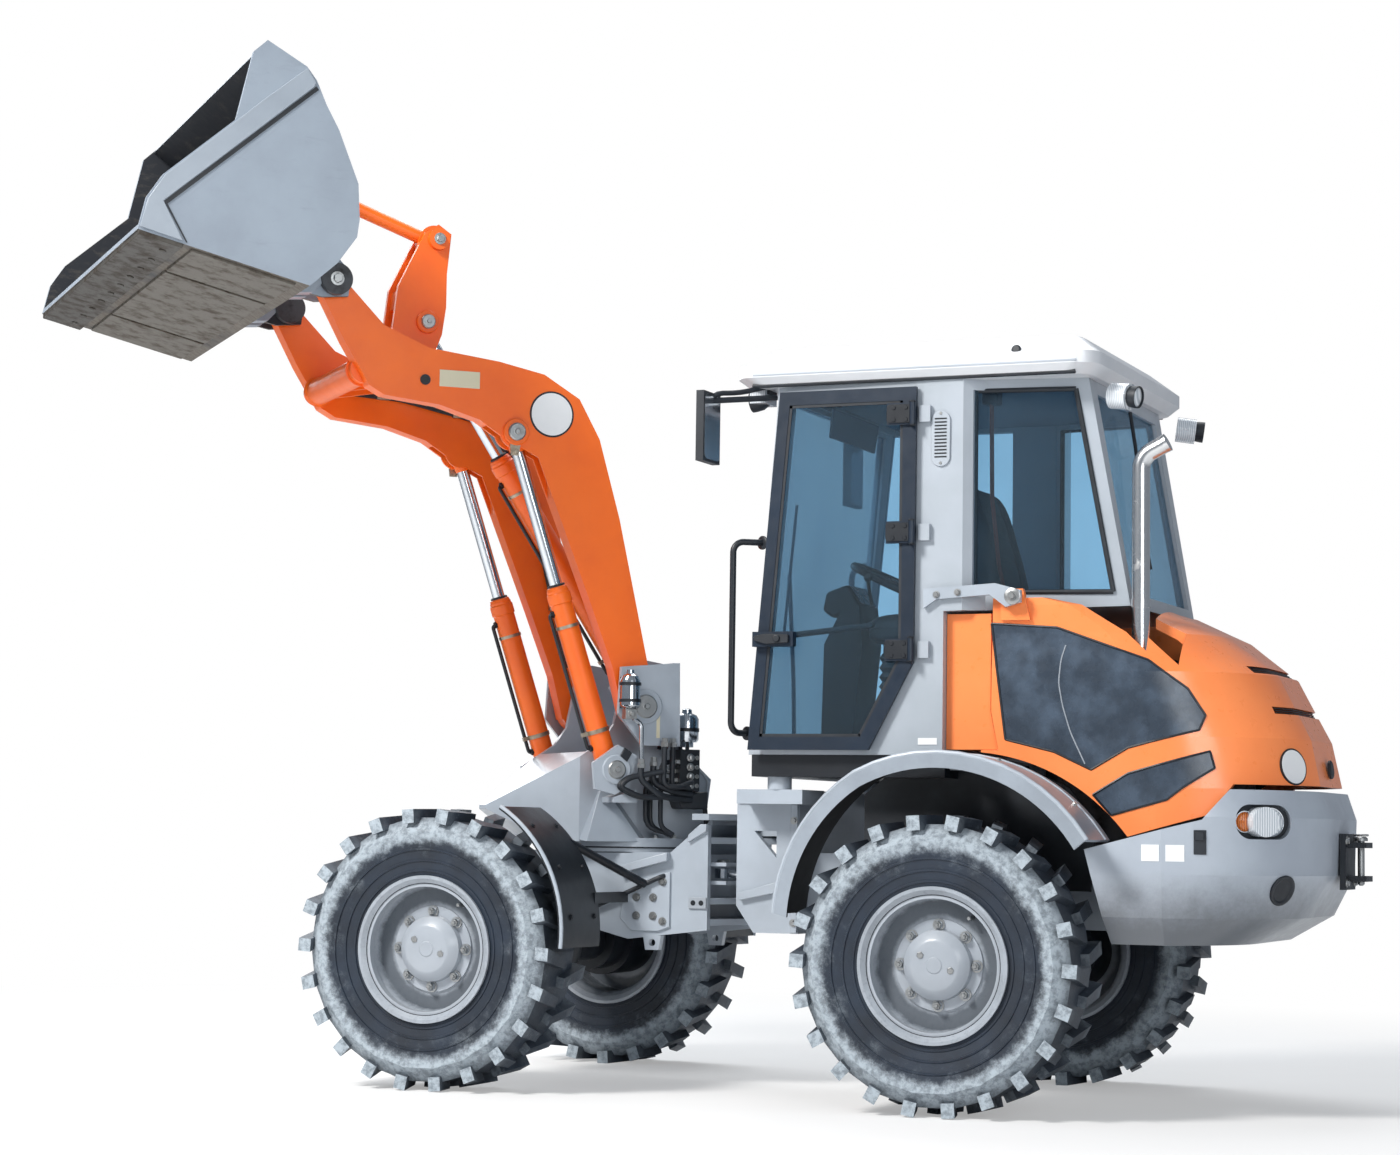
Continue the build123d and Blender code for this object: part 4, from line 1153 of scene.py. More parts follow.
@dataclass
class Studio:
    """The floor, the soft lamps, the backdrop colour and the camera."""

    eye: Point = (-3.334, 10.906, 0.968)
    heading: float = 23.02
    rise: float = 4.87
    tilt: float = 0.86
    lens: float = 77.14
    centre: Point = (1.2, 0.4, 1.4)
    floor_half: float = 30.0
    floor_near: float = 3.2
    floor_far: float = 7.5
    sky: Colour = (0.80, 0.88, 1.0)
    sky_strength: float = 0.30

    def camera(self) -> None:
        """Stand the camera at the machine's left, low and turned towards its nose."""
        data = bpy.data.cameras.new("studio_camera")
        data.lens = self.lens
        data.sensor_width = 36.0
        data.clip_end = 200.0
        cam = bpy.data.objects.new("studio_camera", data)
        yaw, rise, tilt = (math.radians(a) for a in (self.heading, self.rise, self.tilt))
        ahead = Vector((math.sin(yaw) * math.cos(rise), -math.cos(yaw) * math.cos(rise), math.sin(rise)))
        right = ahead.cross(UP).normalized()
        up = right.cross(ahead)
        cos, sin = math.cos(tilt), math.sin(tilt)
        turn = Matrix((cos * right + sin * up, cos * up - sin * right, -ahead)).transposed()
        cam.matrix_world = Matrix.Translation(self.eye) @ turn.to_4x4()
        bpy.context.scene.collection.objects.link(cam)
        bpy.context.scene.camera = cam

    def lamp(self, name: str, place: Point, size: float, power: float, colour: Colour) -> None:
        """Hang one soft square lamp that looks at the machine.

        Args:
            name: The lamp's name.
            place: Where it hangs, in metres.
            size: Length of its side, in metres.
            power: Its power, in watts.
            colour: Its colour.
        """
        data = bpy.data.lights.new(name, "AREA")
        data.size = size
        data.energy = power
        data.color = colour
        lamp = bpy.data.objects.new(name, data)
        lamp.location = place
        lamp.rotation_mode = "QUATERNION"
        lamp.rotation_quaternion = (Vector(self.centre) - Vector(place)).to_track_quat("-Z", "Y")
        bpy.context.scene.collection.objects.link(lamp)

    def backdrop(self) -> None:
        """A pale world that looks white behind the machine and lights it more gently."""
        world = bpy.data.worlds.new("studio_world")
        bpy.context.scene.world = world
        graph = Graph("", world)
        light = graph.add("ShaderNodeBackground", {"Color": self.sky, "Strength": self.sky_strength})
        white = graph.add("ShaderNodeBackground", {"Color": (1.0, 1.0, 1.0)})
        graph.blend(graph.seen_directly(), light, white)

    def floor(self) -> None:
        """A pale floor that keeps the machine's shadow and fades to white far off."""
        mesh = bpy.data.meshes.new("studio_floor")
        half = self.floor_half
        mesh.from_pydata([(x, y, 0) for x, y in oblong(-half, -half, half, half)], [], [(0, 1, 2, 3)])
        floor = bpy.data.objects.new("studio_floor", mesh)
        bpy.context.scene.collection.objects.link(floor)
        graph = Graph("studio_floor_paper")
        paper = graph.mix(graph.noise(2.0, 3.0), (0.84, 0.84, 0.84), (0.88, 0.88, 0.88))
        offset = graph.vector("DISTANCE", graph.place(), (*self.centre[:2], 0.0))
        far = graph.ramp(offset.outputs["Value"], self.floor_near, self.floor_far)
        graph.blend(
            graph.times(graph.seen_directly(), graph.level(far, 0.35, 1.0)),
            graph.add("ShaderNodeBsdfDiffuse", {"Color": paper}),
            graph.add("ShaderNodeEmission", {"Color": (1.0, 1.0, 1.0)}),
        )
        mesh.materials.append(graph.owner)

    def build(self) -> None:
        """Set up the whole studio."""
        bpy.context.scene.view_settings.view_transform = "Standard"
        self.camera()
        self.backdrop()
        self.floor()
        self.lamp("key_lamp", (5.0, 8.0, 8.5), 2.6, 1500.0, (1.0, 0.98, 0.95))
        self.lamp("side_lamp", (-6.0, 9.0, 4.0), 4.0, 300.0, (0.95, 0.98, 1.0))
        self.lamp("top_lamp", (1.5, -3.5, 8.0), 5.0, 260.0, (0.97, 0.99, 1.0))
        self.lamp("back_lamp", (6.0, -4.0, 4.5), 4.0, 200.0, (0.95, 0.98, 1.0))


def dress_cad() -> None:
    """Swap the plain slots of each CAD node for its finish."""
    slots = {row["node"]: row["material_slot"] for row in frame["record"]["subparts"]}
    wheel_finish = {"tyre": ("rubber_", TyreRubber), "rim": ("rim_", RimPaint)}
    for name, obj in frame["nodes"].items():
        kind, _, place = name.partition("_")
        if kind in wheel_finish:
            prefix, sort = wheel_finish[kind]
            finish: Finish = sort(prefix + place, tuple(Wheel[place.upper()].centre))
        else:
            finish = NODE_FINISH.get(name, SLOT_FINISH[slots[name]])
        obj.data.materials.clear()
        obj.data.materials.append(finish.material())


# Sub-assemblies


@dataclass
class WheelTrim:
    """The planetary hub, the nuts, the lock ring, the valve and the sidewall ribs of one wheel."""

    wheel: Wheel
    hub_radius: float = 0.121
    stud_circle: float = 0.140
    studs: int = 8

    def spot(self, turn: float, radius: float, proud: float) -> Vector:
        """A place on the wheel's outer side."""
        out = Vector((0.0, self.wheel.outward, 0.0))
        return self.wheel.centre + Vector((math.cos(turn), 0.0, math.sin(turn))) * radius + out * proud

    def build(self) -> None:
        """Build the wheel's fittings."""
        label, centre, r = self.wheel.label, self.wheel.centre, self.hub_radius
        out, body = Vector((0.0, self.wheel.outward, 0.0)), "wheel_" + label
        hub = ((0.061, 0.160), (0.068, 0.160), (0.070, r + 0.004), (0.094, r), (0.101, r - 0.008),
               (0.118, 0.092), (0.122, 0.082), (0.122, 0.030), (0.125, 0.026), (0.125, 0.0))
        Shaper("hub_" + label).turned(centre, out, hub, 48).made(HUB_SILVER, body)
        nuts = Shaper("nuts_" + label)
        for index in range(self.studs):
            spot = self.spot(FULL_TURN * index / self.studs, self.stud_circle, 0.068)
            nuts.bolt(spot, out, 0.0150, 0.026)
            nuts.turned(spot, out, ((0.0, 0.008), (0.030, 0.008), (0.033, 0.006)), 12)
        nuts.made(PIN, body)
        plugs = Shaper("hub_plug_" + label)
        plug = ((0.0, 0.013), (0.004, 0.013), (0.006, 0.010))
        for turn in (0.6, 3.4):
            plugs.turned(self.spot(turn, 0.062, 0.121), out, plug, 6)
        plugs.made(PIN, body)
        lock = ((0.104, 0.2445), (0.128, 0.2445), (0.131, 0.250), (0.135, 0.2435), (0.135, 0.232),
                (0.104, 0.232))
        # A thin black ring paints the shadow in the gap beside the lock ring.
        groove = oblong(0.136, 0.2435, 0.1375, 0.2600)
        Shaper("lock_ring_" + label).turned(centre, out, lock, 64, ring=True).made(HUB_SILVER, body)
        Shaper("rim_groove_" + label).turned(centre, out, groove, 64, ring=True).made(BLACK, body)
        ribs = Shaper("sidewall_ribs_" + label)
        for radius, proud in ((0.292, 0.1445), (0.330, 0.1500), (0.372, 0.1565)):
            low = proud - 0.012
            rib = ((low, radius - 0.006), (proud, radius - 0.003), (proud, radius + 0.003),
                   (low, radius + 0.008))
            for way in (out, -out):
                ribs.turned(centre, way, rib, 66, ring=True)
        ribs.made(TyreRubber("rubber_" + label, tuple(centre)), body, slot="tyre")
        valve = ((0.0, 0.009), (0.012, 0.007), (0.034, 0.005), (0.036, 0.007), (0.048, 0.007), (0.050, 0.005))
        Shaper("valve_" + label).turned(self.spot(2.2, 0.205, 0.060), out, valve, 12).made(PIN, body)


@dataclass
class RamTrim:
    """The gland, the clamp band and the hard pipe of one hydraulic cylinder in the tower's plane.

    Args:
        label: The cylinder's name.
        base: Its base pin, ahead and up.
        eye: Its rod's eye, ahead and up.
        left: How far left of the tower's middle it lies.
        barrel_body: The body of its barrel.
        rod_body: The body of its rod.
        length: Length of the barrel from the base pin.
        radius: Outer radius of the barrel.
    """

    label: str
    base: Flat
    eye: Flat
    left: float
    barrel_body: str
    rod_body: str
    length: float
    radius: float

    def at(self, distance: float, out: float = 0.0, aside: float = 0.0) -> Vector:
        """A point along the cylinder, drawn out from its axis across it or to the side.

        Args:
            distance: How far from the base pin.
            out: How far out from the axis.
            aside: How far to the side.

        Returns:
            The point.
        """
        reach = math.dist(self.base, self.eye)
        forward, height = ((e - b) / reach for b, e in zip(self.base, self.eye))
        ahead = self.base[0] + forward * distance + height * out
        return tower_point(ahead, self.left + aside, self.base[1] + height * distance - forward * out)

    def build(self) -> None:
        """Build the cylinder's fittings."""
        label, body, r, rod = self.label, self.barrel_body, self.radius, 0.0262
        start, port, far_port = self.length, 0.100, self.length - 0.085
        axis = self.at(1.0) - self.at(0.0)
        gland = ((0.0, r), (0.004, r + 0.004), (0.040, r + 0.004), (0.046, r), (0.066, r - 0.004),
                 (0.070, 0.033), (0.070, rod), (0.0, rod))
        wiper = ((0.0, 0.0345), (0.006, 0.0345), (0.009, 0.0300), (0.009, rod), (0.0, rod))
        Shaper("gland_" + label).turned(self.at(start - 0.055), axis, gland, 40, ring=True).made(ORANGE, body)
        Shaper("wiper_" + label).turned(self.at(start + 0.014), axis, wiper, 32, ring=True).made(DARK, body)
        bands = Shaper("band_" + label)
        bands.turned(self.at(0.150), axis, band(r, 0.0035, 0.016), 36, ring=True)
        bands.turned(self.at(start - 0.150), axis, band(r, 0.003, 0.012), 36, ring=True)
        lug = [self.at(far, r + out, -0.010) for far, out in oblong(0.150, 0.001, 0.166, 0.024)]
        bands.slab(lug, tower_direction(0.0, 1.0, 0.0) * 0.020).made(BAND_STEEL, body)
        pipe = Shaper("hard_pipe_" + label)
        ends = ((port, -0.01), (port, 0.016), (far_port, 0.016), (far_port, -0.01))
        pipe.tube([self.at(far, r + out) for far, out in ends], 0.0075, 0.025)
        for far in (port, far_port):
            away = self.at(far, 1.0) - self.at(far)
            pipe.turned(self.at(far, r * 0.9), away, ((0.0, 0.014), (0.012, 0.014), (0.013, 0.012)), 6)
        pipe.made(BLACK, body)
        collar = ((0.0, rod), (0.008, 0.0305), (0.045, 0.0305))
        reach = math.dist(self.base, self.eye)
        Shaper("rod_collar_" + label).turned(self.at(reach - 0.075), axis, collar).made(ORANGE, self.rod_body)


@dataclass
class BoomTrim:
    """Blank signs, bushes, pin heads, pipes, clamps and weld beads of the boom."""

    face: float = 0.388
    inner_face: float = 0.312
    sign: Flat = (0.478, 2.562)

    def signs(self, name: str, way: int, out: Vector) -> None:
        """The round white sign with its dark rim, the cream plate and the port of one arm, all blank.

        Args:
            name: The side's name.
            way: 1 on the left, -1 on the right.
            out: The outward direction of the side.
        """
        left = way * (self.face + 0.0002)
        port = ((0.0, 0.020), (0.004, 0.020), (0.004, 0.013), (0.001, 0.013))
        for label, spot, lift, profile, finish, steps in (
            ("round_sign_rim_", self.sign, 0.0, ((0.0, 0.089), (0.0016, 0.089)), BLACK, 56),
            ("round_sign_", self.sign, 0.0014, ((0.0, 0.082), (0.0016, 0.082)), SIGN_WHITE, 56),
            ("arm_port_", (0.986, 2.661), 0.0, port, BLACK, 40),
        ):
            middle = tower_point(spot[0], left + way * lift, spot[1])
            Shaper(label + name).turned(middle, out, profile, steps).made(finish, "boom")
        plate = tower_face(oblong(0.770, 2.640, 0.930, 2.704), left)
        Shaper("arm_plate_" + name).slab(plate, out * 0.002).made(CREAM, "boom", 0.0006)

    def bushes(self, name: str, way: int, out: Vector) -> None:
        """The bush ring, pin head and keeper bolt on the outer face of one arm.

        Args:
            name: The side's name.
            way: 1 on the left, -1 on the right.
            out: The outward direction of the side.
        """
        ahead, up = LIFT_EYE
        middle, head_place, bolt_place, keeper_place = (
            tower_point(ahead + shift, way * (self.face + lift), up - drop)
            for shift, lift, drop in (
                (0.0, 0.0, 0.0), (0.0, 0.012, 0.0), (0.002, 0.025, 0.0), (0.003, 0.010, 0.076),
            )
        )
        bush = Shaper("arm_bushes_" + name).turned(middle, out, cap(0.052, 0.010, 0.013, 0.048), 40)
        bush.made(ORANGE, "boom")
        head = Shaper("arm_pin_heads_" + name).turned(head_place, out, cap(0.034, 0.010, 0.014, 0.029))
        head.bolt(bolt_place, out, 0.011, 0.012).made(PIN, "boom")
        flag = ((-0.012, -0.090), (0.018, -0.090), (0.026, -0.030), (-0.020, -0.030))
        plate = tower_face([(ahead + f, up + h) for f, h in flag], way * self.face)
        keeper = Shaper("arm_keeper_" + name).slab(plate, out * 0.010)
        keeper.bolt(keeper_place, out, 0.009, 0.010).made(BAND_STEEL, "boom", 0.001)

    def pipes(self, name: str, way: int, out: Vector) -> None:
        """Two hard pipes along the inside of one arm, their clamps, and the cross tube's weld bead.

        Args:
            name: The side's name.
            way: 1 on the left, -1 on the right.
            out: The outward direction of the side.
        """
        runs = ((0.135, 1.640), (0.255, 2.120), (0.350, 2.440), (0.520, 2.620), (0.860, 2.690),
                (1.060, 2.700))
        pipe = Shaper("arm_pipes_" + name)
        for offset in (0.0, 0.022):
            left = way * (self.inner_face - 0.012 - offset * 0.1)
            pipe.tube(tower_face([(f + offset, h - offset * 0.5) for f, h in runs], left), 0.0085, 0.05)
        pipe.made(BLACK, "boom")
        clamp = Shaper("arm_clamps_" + name)
        for index, share in ((0, 0.5), (1, 0.5), (3, 0.3), (4, 0.4)):
            f, h = (a + (b - a) * share for a, b in zip(runs[index], runs[index + 1]))
            corners = oblong(f - 0.016, h - 0.020, f + 0.040, h + 0.014)
            clamp.slab(tower_face(corners, way * self.inner_face), -out * 0.026)
        clamp.made(BAND_STEEL, "boom", 0.003)
        bead = ((0.0, 0.052), (0.0, 0.061), (0.003, 0.061), (0.011, 0.052))
        middle = tower_point(1.215, way * self.inner_face, 2.690)
        Shaper("tube_welds_" + name).turned(middle, -out, bead, 40, ring=True).made(ORANGE, "boom")

    def build(self) -> None:
        """Build the boom's fittings."""
        for job in (self.signs, self.bushes, self.pipes):
            for name, way in SIDES:
                job(name, way, tower_direction(0.0, way, 0.0))


@dataclass
class LeverTrim:
    """Pin heads, washers and bosses of the tilt lever, the link and their pins."""

    plate: float = 0.078

    def build(self) -> None:
        """Build the lever's fittings."""
        ahead, up = LEVER_EYE
        for name, way in SIDES:
            out = tower_direction(0.0, way, 0.0)
            lifts = (0.0, 0.014, 0.024)
            face, raised, proud = (tower_point(ahead, way * (self.plate + lift), up) for lift in lifts)
            boss = Shaper("lever_bosses_" + name).turned(face, out, cap(0.045, 0.012, 0.015, 0.041))
            boss.made(ORANGE, "lever")
            heads = Shaper("lever_heads_" + name).turned(raised, out, cap(0.028, 0.008, 0.011, 0.024), 28)
            heads.bolt(proud, out, 0.009, 0.010).made(PIN, "lever")
            top = tower_point(LEVER_TOP[0], way * 0.100, LEVER_TOP[1])
            Shaper("link_pin_head_" + name).bolt(top, out, 0.016, 0.014).made(PIN, "link_pin")
            spot = tower_point(LEVER_PIVOT[0], way * 0.142, LEVER_PIVOT[1])
            pivot = Shaper("lever_pin_head_" + name).bolt(spot, out, 0.020, 0.014)
            for turn in (0.8, 2.9, 5.0):
                place = (LEVER_PIVOT[0] + 0.040 * math.cos(turn), LEVER_PIVOT[1] + 0.040 * math.sin(turn))
                pivot.bolt(tower_point(place[0], way * 0.142, place[1]), out, 0.007, 0.008)
            pivot.made(PIN, "lever_pin")
            spot = tower_point(BUCKET_PIVOT[0], way * 0.446, BUCKET_PIVOT[1])
            Shaper("bucket_pin_head_" + name).bolt(spot, out, 0.018, 0.014).made(PIN, "bucket_pins")


@dataclass
class BucketTrim:
    """The painted shadow line along the seam of each side plate, the cutting edge, the wear strips and the
    ear gussets of the bucket.
    """

    half: float = 0.960
    tip: Flat = (2.204, 3.025)
    heel: Flat = (1.588, 2.876)

    def under(self, reach: float, drop: float, left: float) -> Vector:
        """A point a distance back from the tip along the floor and below it.

        Args:
            reach: How far back from the tip.
            drop: How far below the floor.
            left: How far left of the middle.

        Returns:
            The point.
        """
        length = math.dist(self.tip, self.heel)
        back, fall = ((h - t) / length for t, h in zip(self.tip, self.heel))
        ahead = self.tip[0] + back * reach - fall * drop
        return tower_point(ahead, left, self.tip[1] + fall * reach + back * drop)

    def strip(self, shape: Shaper, near: float, far: float, low: float, high: float, thick: float) -> None:
        """Add one flat strip under the floor.

        Args:
            shape: What the strip is added to.
            near: Where it starts, from the tip.
            far: Where it ends.
            low: Its right end.
            high: Its left end.
            thick: Its thickness.
        """
        ends = ((near + 0.004, thick), (far - 0.004, thick), (far, 0.0), (near, 0.0))
        section = [self.under(reach, drop, low) for reach, drop in ends]
        shape.slab(section, tower_direction(0.0, 1.0, 0.0) * (high - low))

    def build(self) -> None:
        """Build the bucket's fittings."""
        seam_shadow_lines = (
            (((2.108, 3.118), (1.575, 3.582), (1.585, 3.593), (2.118, 3.129)), 0.002),
            (((2.108, 3.118), (2.034, 2.990), (2.030, 2.993), (2.103, 3.122)), 0.0015),
        )
        border = ((2.198, 3.034), (2.172, 3.136), (2.115, 3.224), (1.866, 3.443), (1.764, 3.534),
                  (1.619, 3.655), (1.586, 3.607), (1.592, 3.590), (2.118, 3.131), (2.045, 2.995))
        for name, way in SIDES:
            left, out = way * (self.half + 0.0005), tower_direction(0.0, way, 0.0)
            # Thin black strips along the doubler's edge paint its shadow line.
            seam = Shaper("bucket_seam_" + name)
            for corners, thick in seam_shadow_lines:
                seam.slab(tower_face(corners, left), out * thick)
            seam.made(BLACK, "bucket")
            doubler = Shaper("bucket_doubler_" + name)
            doubler.slab(tower_face(border, left - way * 0.0004), out * 0.006)
            doubler.made(BUCKET_GREY, "bucket", 0.0015)
        edge, wear = Shaper("cutting_edge"), Shaper("wear_strips")
        self.strip(edge, 0.004, 0.168, -self.half, self.half, 0.016)
        edge.made(WORN, "bucket", 0.002)
        for low, high in ((-0.930, -0.520), (-0.490, 0.490), (0.520, 0.930)):
            self.strip(wear, 0.200, 0.590, low, high, 0.010)
        wear.made(WEAR, "bucket", 0.0015)
        bolts = Shaper("edge_bolts")
        away = self.under(0.0, 1.0, 0.0) - self.under(0.0, 0.0, 0.0)
        for index in range(10):
            spot = self.under(0.120, 0.014, -0.84 + index * 0.1867)
            bolts.turned(spot, away, ((0.0, 0.013), (0.005, 0.013), (0.007, 0.010)), 6)
        bolts.made(WORN, "bucket")
        gusset = Shaper("ear_gussets")
        for left in (-0.405, -0.295, 0.295, 0.405):
            corners = ((1.50, 2.945), (1.435, 3.070), (1.395, 3.000), (1.440, 2.950))
            gusset.slab(tower_face(corners, left - 0.030), tower_direction(0.0, 1.0, 0.0) * 0.060)
        gusset.made(BUCKET_GREY, "bucket", 0.003)


@dataclass
class TowerTrim:
    """Pin heads, ring bolts, gussets, the valve group, its canister, lines and labels on the lift tower."""

    face: float = 0.434
    body: str = "tower"
    left: Vector = tower_direction(0.0, 1.0, 0.0).freeze()

    def pins(self) -> None:
        """Heads of the boom's and the lift cylinders' base pins."""
        flag = [(LIFT_BASE[0] + f, LIFT_BASE[1] + h)
                for f, h in ((-0.040, 0.030), (-0.012, 0.052), (-0.030, 0.085), (-0.060, 0.065))]
        for name, way in SIDES:
            out = tower_direction(0.0, way, 0.0)
            heads, bosses = Shaper("tower_pins_" + name), Shaper("tower_bosses_" + name)
            for (ahead, up), pin, boss in ((BOOM_PIVOT, 0.046, 0.068), (LIFT_BASE, 0.036, 0.058)):
                spot = tower_point(ahead, way * self.face, up)
                heads.turned(spot, out, cap(pin, 0.008, 0.012, pin - 0.005), 36)
                heads.bolt(tower_point(ahead, way * (self.face + 0.011), up), out, 0.012, 0.013)
                bosses.turned(spot, out, cap(boss, 0.004, 0.007, boss - 0.004, 0.030), 40)
            heads.made(PIN, self.body)
            bosses.made(GREY, self.body)
            keeper = Shaper("tower_keepers_" + name).slab(tower_face(flag, way * self.face), out * 0.012)
            keeper.made(BLACK, self.body, 0.002)

    def gussets(self) -> None:
        """The folded stiffener at the foot of each side plate and its weld bead."""
        bead = ((-0.205, 0.945), (-0.236, 1.176), (-0.058, 1.352), (-0.046, 1.612))
        for name, way in SIDES:
            face, wide = way * 0.2855, way * 0.344
            apex = tower_point(0.214, face, 1.150)
            low = tower_run((0.300, face, 0.935), (0.290, wide, 0.930), (0.060, wide, 0.930),
                            (0.020, face, 0.935))
            folds = [apex + tower_direction(back, way, 0.0) * 0.012 for back in (0.0, -0.3)]
            high = [apex, *folds, tower_point(0.190, face, 1.150)]
            Shaper("tower_gusset_" + name).loft([low, high]).made(TOWER_PLATE, self.body, 0.003)
            path = tower_face(bead, face + way * 0.004)
            Shaper("tower_edge_bead_" + name).tube(path, 0.006, 0.03, 8).made(GREY, self.body)

    def ring(self) -> None:
        """The seal and the bolts of the slew ring."""
        seal = Shaper("slew_seal")
        seal.turned(Vector((SLEW_X, 0.0, 0.906)), UP, band(0.340, 0.009, 0.007), 64, ring=True)
        seal.made(DARK, self.body)
        bolts = Shaper("slew_bolts")
        for turn in (FULL_TURN * index / 24 for index in range(24)):
            x, y = SLEW_X + 0.322 * math.cos(turn), 0.322 * math.sin(turn)
            bolts.bolt(Vector((x, y, 0.9455)), UP, 0.011, 0.014)
        bolts.made(PIN, self.body)

    def valves(self) -> None:
        """The silver accumulator, the valve bodies, the black case and the bent lines beside the arm."""
        can = ((0.0, 0.026), (0.020, 0.026), (0.020, 0.040), (0.030, 0.046), (0.110, 0.046), (0.124, 0.038),
               (0.132, 0.020), (0.146, 0.018), (0.150, 0.010))
        Shaper("accumulator").turned(tower_point(-0.115, 0.352, 1.300), UP, can, 36).made(CHROME, self.body)
        clip = Shaper("accumulator_clip")
        clip.turned(tower_point(-0.115, 0.352, 1.360), UP, band(0.046, 0.0025, 0.014), 36, ring=True)
        clip.made(BLACK, self.body)
        spools = Shaper("valve_spools")
        spool = ((0.0, 0.015), (0.010, 0.015), (0.012, 0.011), (0.024, 0.011), (0.026, 0.007))
        for height in (1.150 + index * 0.036 for index in range(4)):
            spools.turned(tower_point(-0.110, 0.402, height), self.left, spool, 20)
            spools.bolt(tower_point(-0.140, 0.402, height), self.left, 0.006, 0.008)
        spools.made(PIN, self.body)
        case = tower_face(((-0.190, 1.060), (-0.080, 1.060), (-0.060, 1.110), (-0.190, 1.130)), 0.290)
        Shaper("valve_case").slab(case, self.left * 0.110).made(DARK, self.body, 0.006)
        lines, ends = Shaper("valve_lines"), Shaper("line_fittings")
        for index, (rise, reach) in enumerate(((1.205, 0.030), (1.170, 0.058), (1.240, 0.004))):
            left = 0.345 + 0.022 * index
            bends = ((-0.075, rise), (reach, rise), (reach, 0.990), (-0.050, 0.960))
            lines.tube(tower_face(bends, left), 0.0095, 0.045)
            fitting = ((0.0, 0.013), (0.016, 0.013), (0.018, 0.0105), (0.038, 0.0105))
            ends.turned(tower_point(-0.072, left, rise), tower_direction(1.0, 0.0, 0.0), fitting, 6)
        for left in (0.300, 0.372):
            loop = ((-0.110, 1.288), (-0.110, 1.330), (-0.030, 1.345), (-0.020, 1.290))
            lines.tube(tower_face(loop, left), 0.008, 0.03)
        lines.tube(tower_face(((-0.160, 1.130), (-0.200, 1.100), (-0.215, 0.980)), 0.330), 0.010, 0.04)
        lines.made(DARK, self.body)
        ends.made(PIN, self.body)
        label = tower_face(oblong(0.030, 1.330, 0.044, 1.470), self.face + 0.0005)
        Shaper("tower_label").slab(label, self.left * 0.0015).made(CREAM, self.body)

    def canister(self) -> None:
        """The silver canister outside the left head plate, its clamp, its tube and the hoses below it."""
        spot = tower_point(0.172, 0.482, 1.436)
        can = ((0.0, 0.020), (0.006, 0.034), (0.014, 0.040), (0.108, 0.040), (0.126, 0.032), (0.136, 0.016),
               (0.150, 0.014), (0.152, 0.0))
        Shaper("canister").turned(spot, UP, can, 40).made(CHROME, self.body)
        clamp = Shaper("canister_clamp")
        for rise in (0.026, 0.090):
            clamp.turned(spot + UP * rise, UP, band(0.040, 0.0025, 0.012), 40, ring=True)
        clamp.slab(tower_face(oblong(0.150, 1.440, 0.196, 1.560), self.face + 0.0005), self.left * 0.010)
        clamp.made(BLACK, self.body)
        valve = Shaper("canister_valve")
        valve.slab(tower_face(oblong(0.150, 1.398, 0.196, 1.436), 0.462), self.left * 0.040)
        valve.bolt(tower_point(0.173, 0.502, 1.417), self.left, 0.011, 0.014).made(PIN, self.body, 0.002)
        tube = tower_run((0.156, 0.482, 1.400), (0.122, 0.478, 1.380), (0.118, 0.472, 1.215))
        Shaper("canister_tube").tube(tube, 0.009, 0.03).made(CHROME, self.body)
        hoses, nuts = Shaper("tower_hoses"), Shaper("tower_hose_ends")
        nut = ((0.0, 0.016), (0.016, 0.016), (0.018, 0.013), (0.034, 0.013))
        for index, (reach, left, width, top, nut_foot) in enumerate((
            (0.118, 0.472, 0.0125, 1.225, 1.213), (0.060, 0.452, 0.0125, 1.225, 1.222),
            (0.020, 0.466, 0.0105, 1.300, 1.296), (-0.020, 0.450, 0.0105, 1.300, 1.296),
        )):
            path = tower_run(
                (reach, left, top), (reach + 0.004, left, 1.170 - 0.014 * index),
                (reach - 0.080, left, 1.105 + 0.02 * index), (-0.120, 0.395, 1.095 + 0.022 * index),
            )
            hoses.tube(path, width, 0.06, 12)
            nuts.turned(tower_point(reach, left, nut_foot), UP, nut, 6)
        for left in (0.446, 0.470):
            loop = [(f, left, h) for f, h in ((0.030, 1.200), (0.165, 1.175), (0.205, 1.140), (0.120, 1.100))]
            hoses.tube(tower_run(*loop, (-0.020, left - 0.03, 1.105)), 0.0105, 0.05, 12)
        hoses.made(DARK, self.body)
        nuts.made(PIN, self.body)

    def build(self) -> None:
        """Build the tower's fittings."""
        for job in (self.canister, self.pins, self.gussets, self.ring, self.valves):
            job()


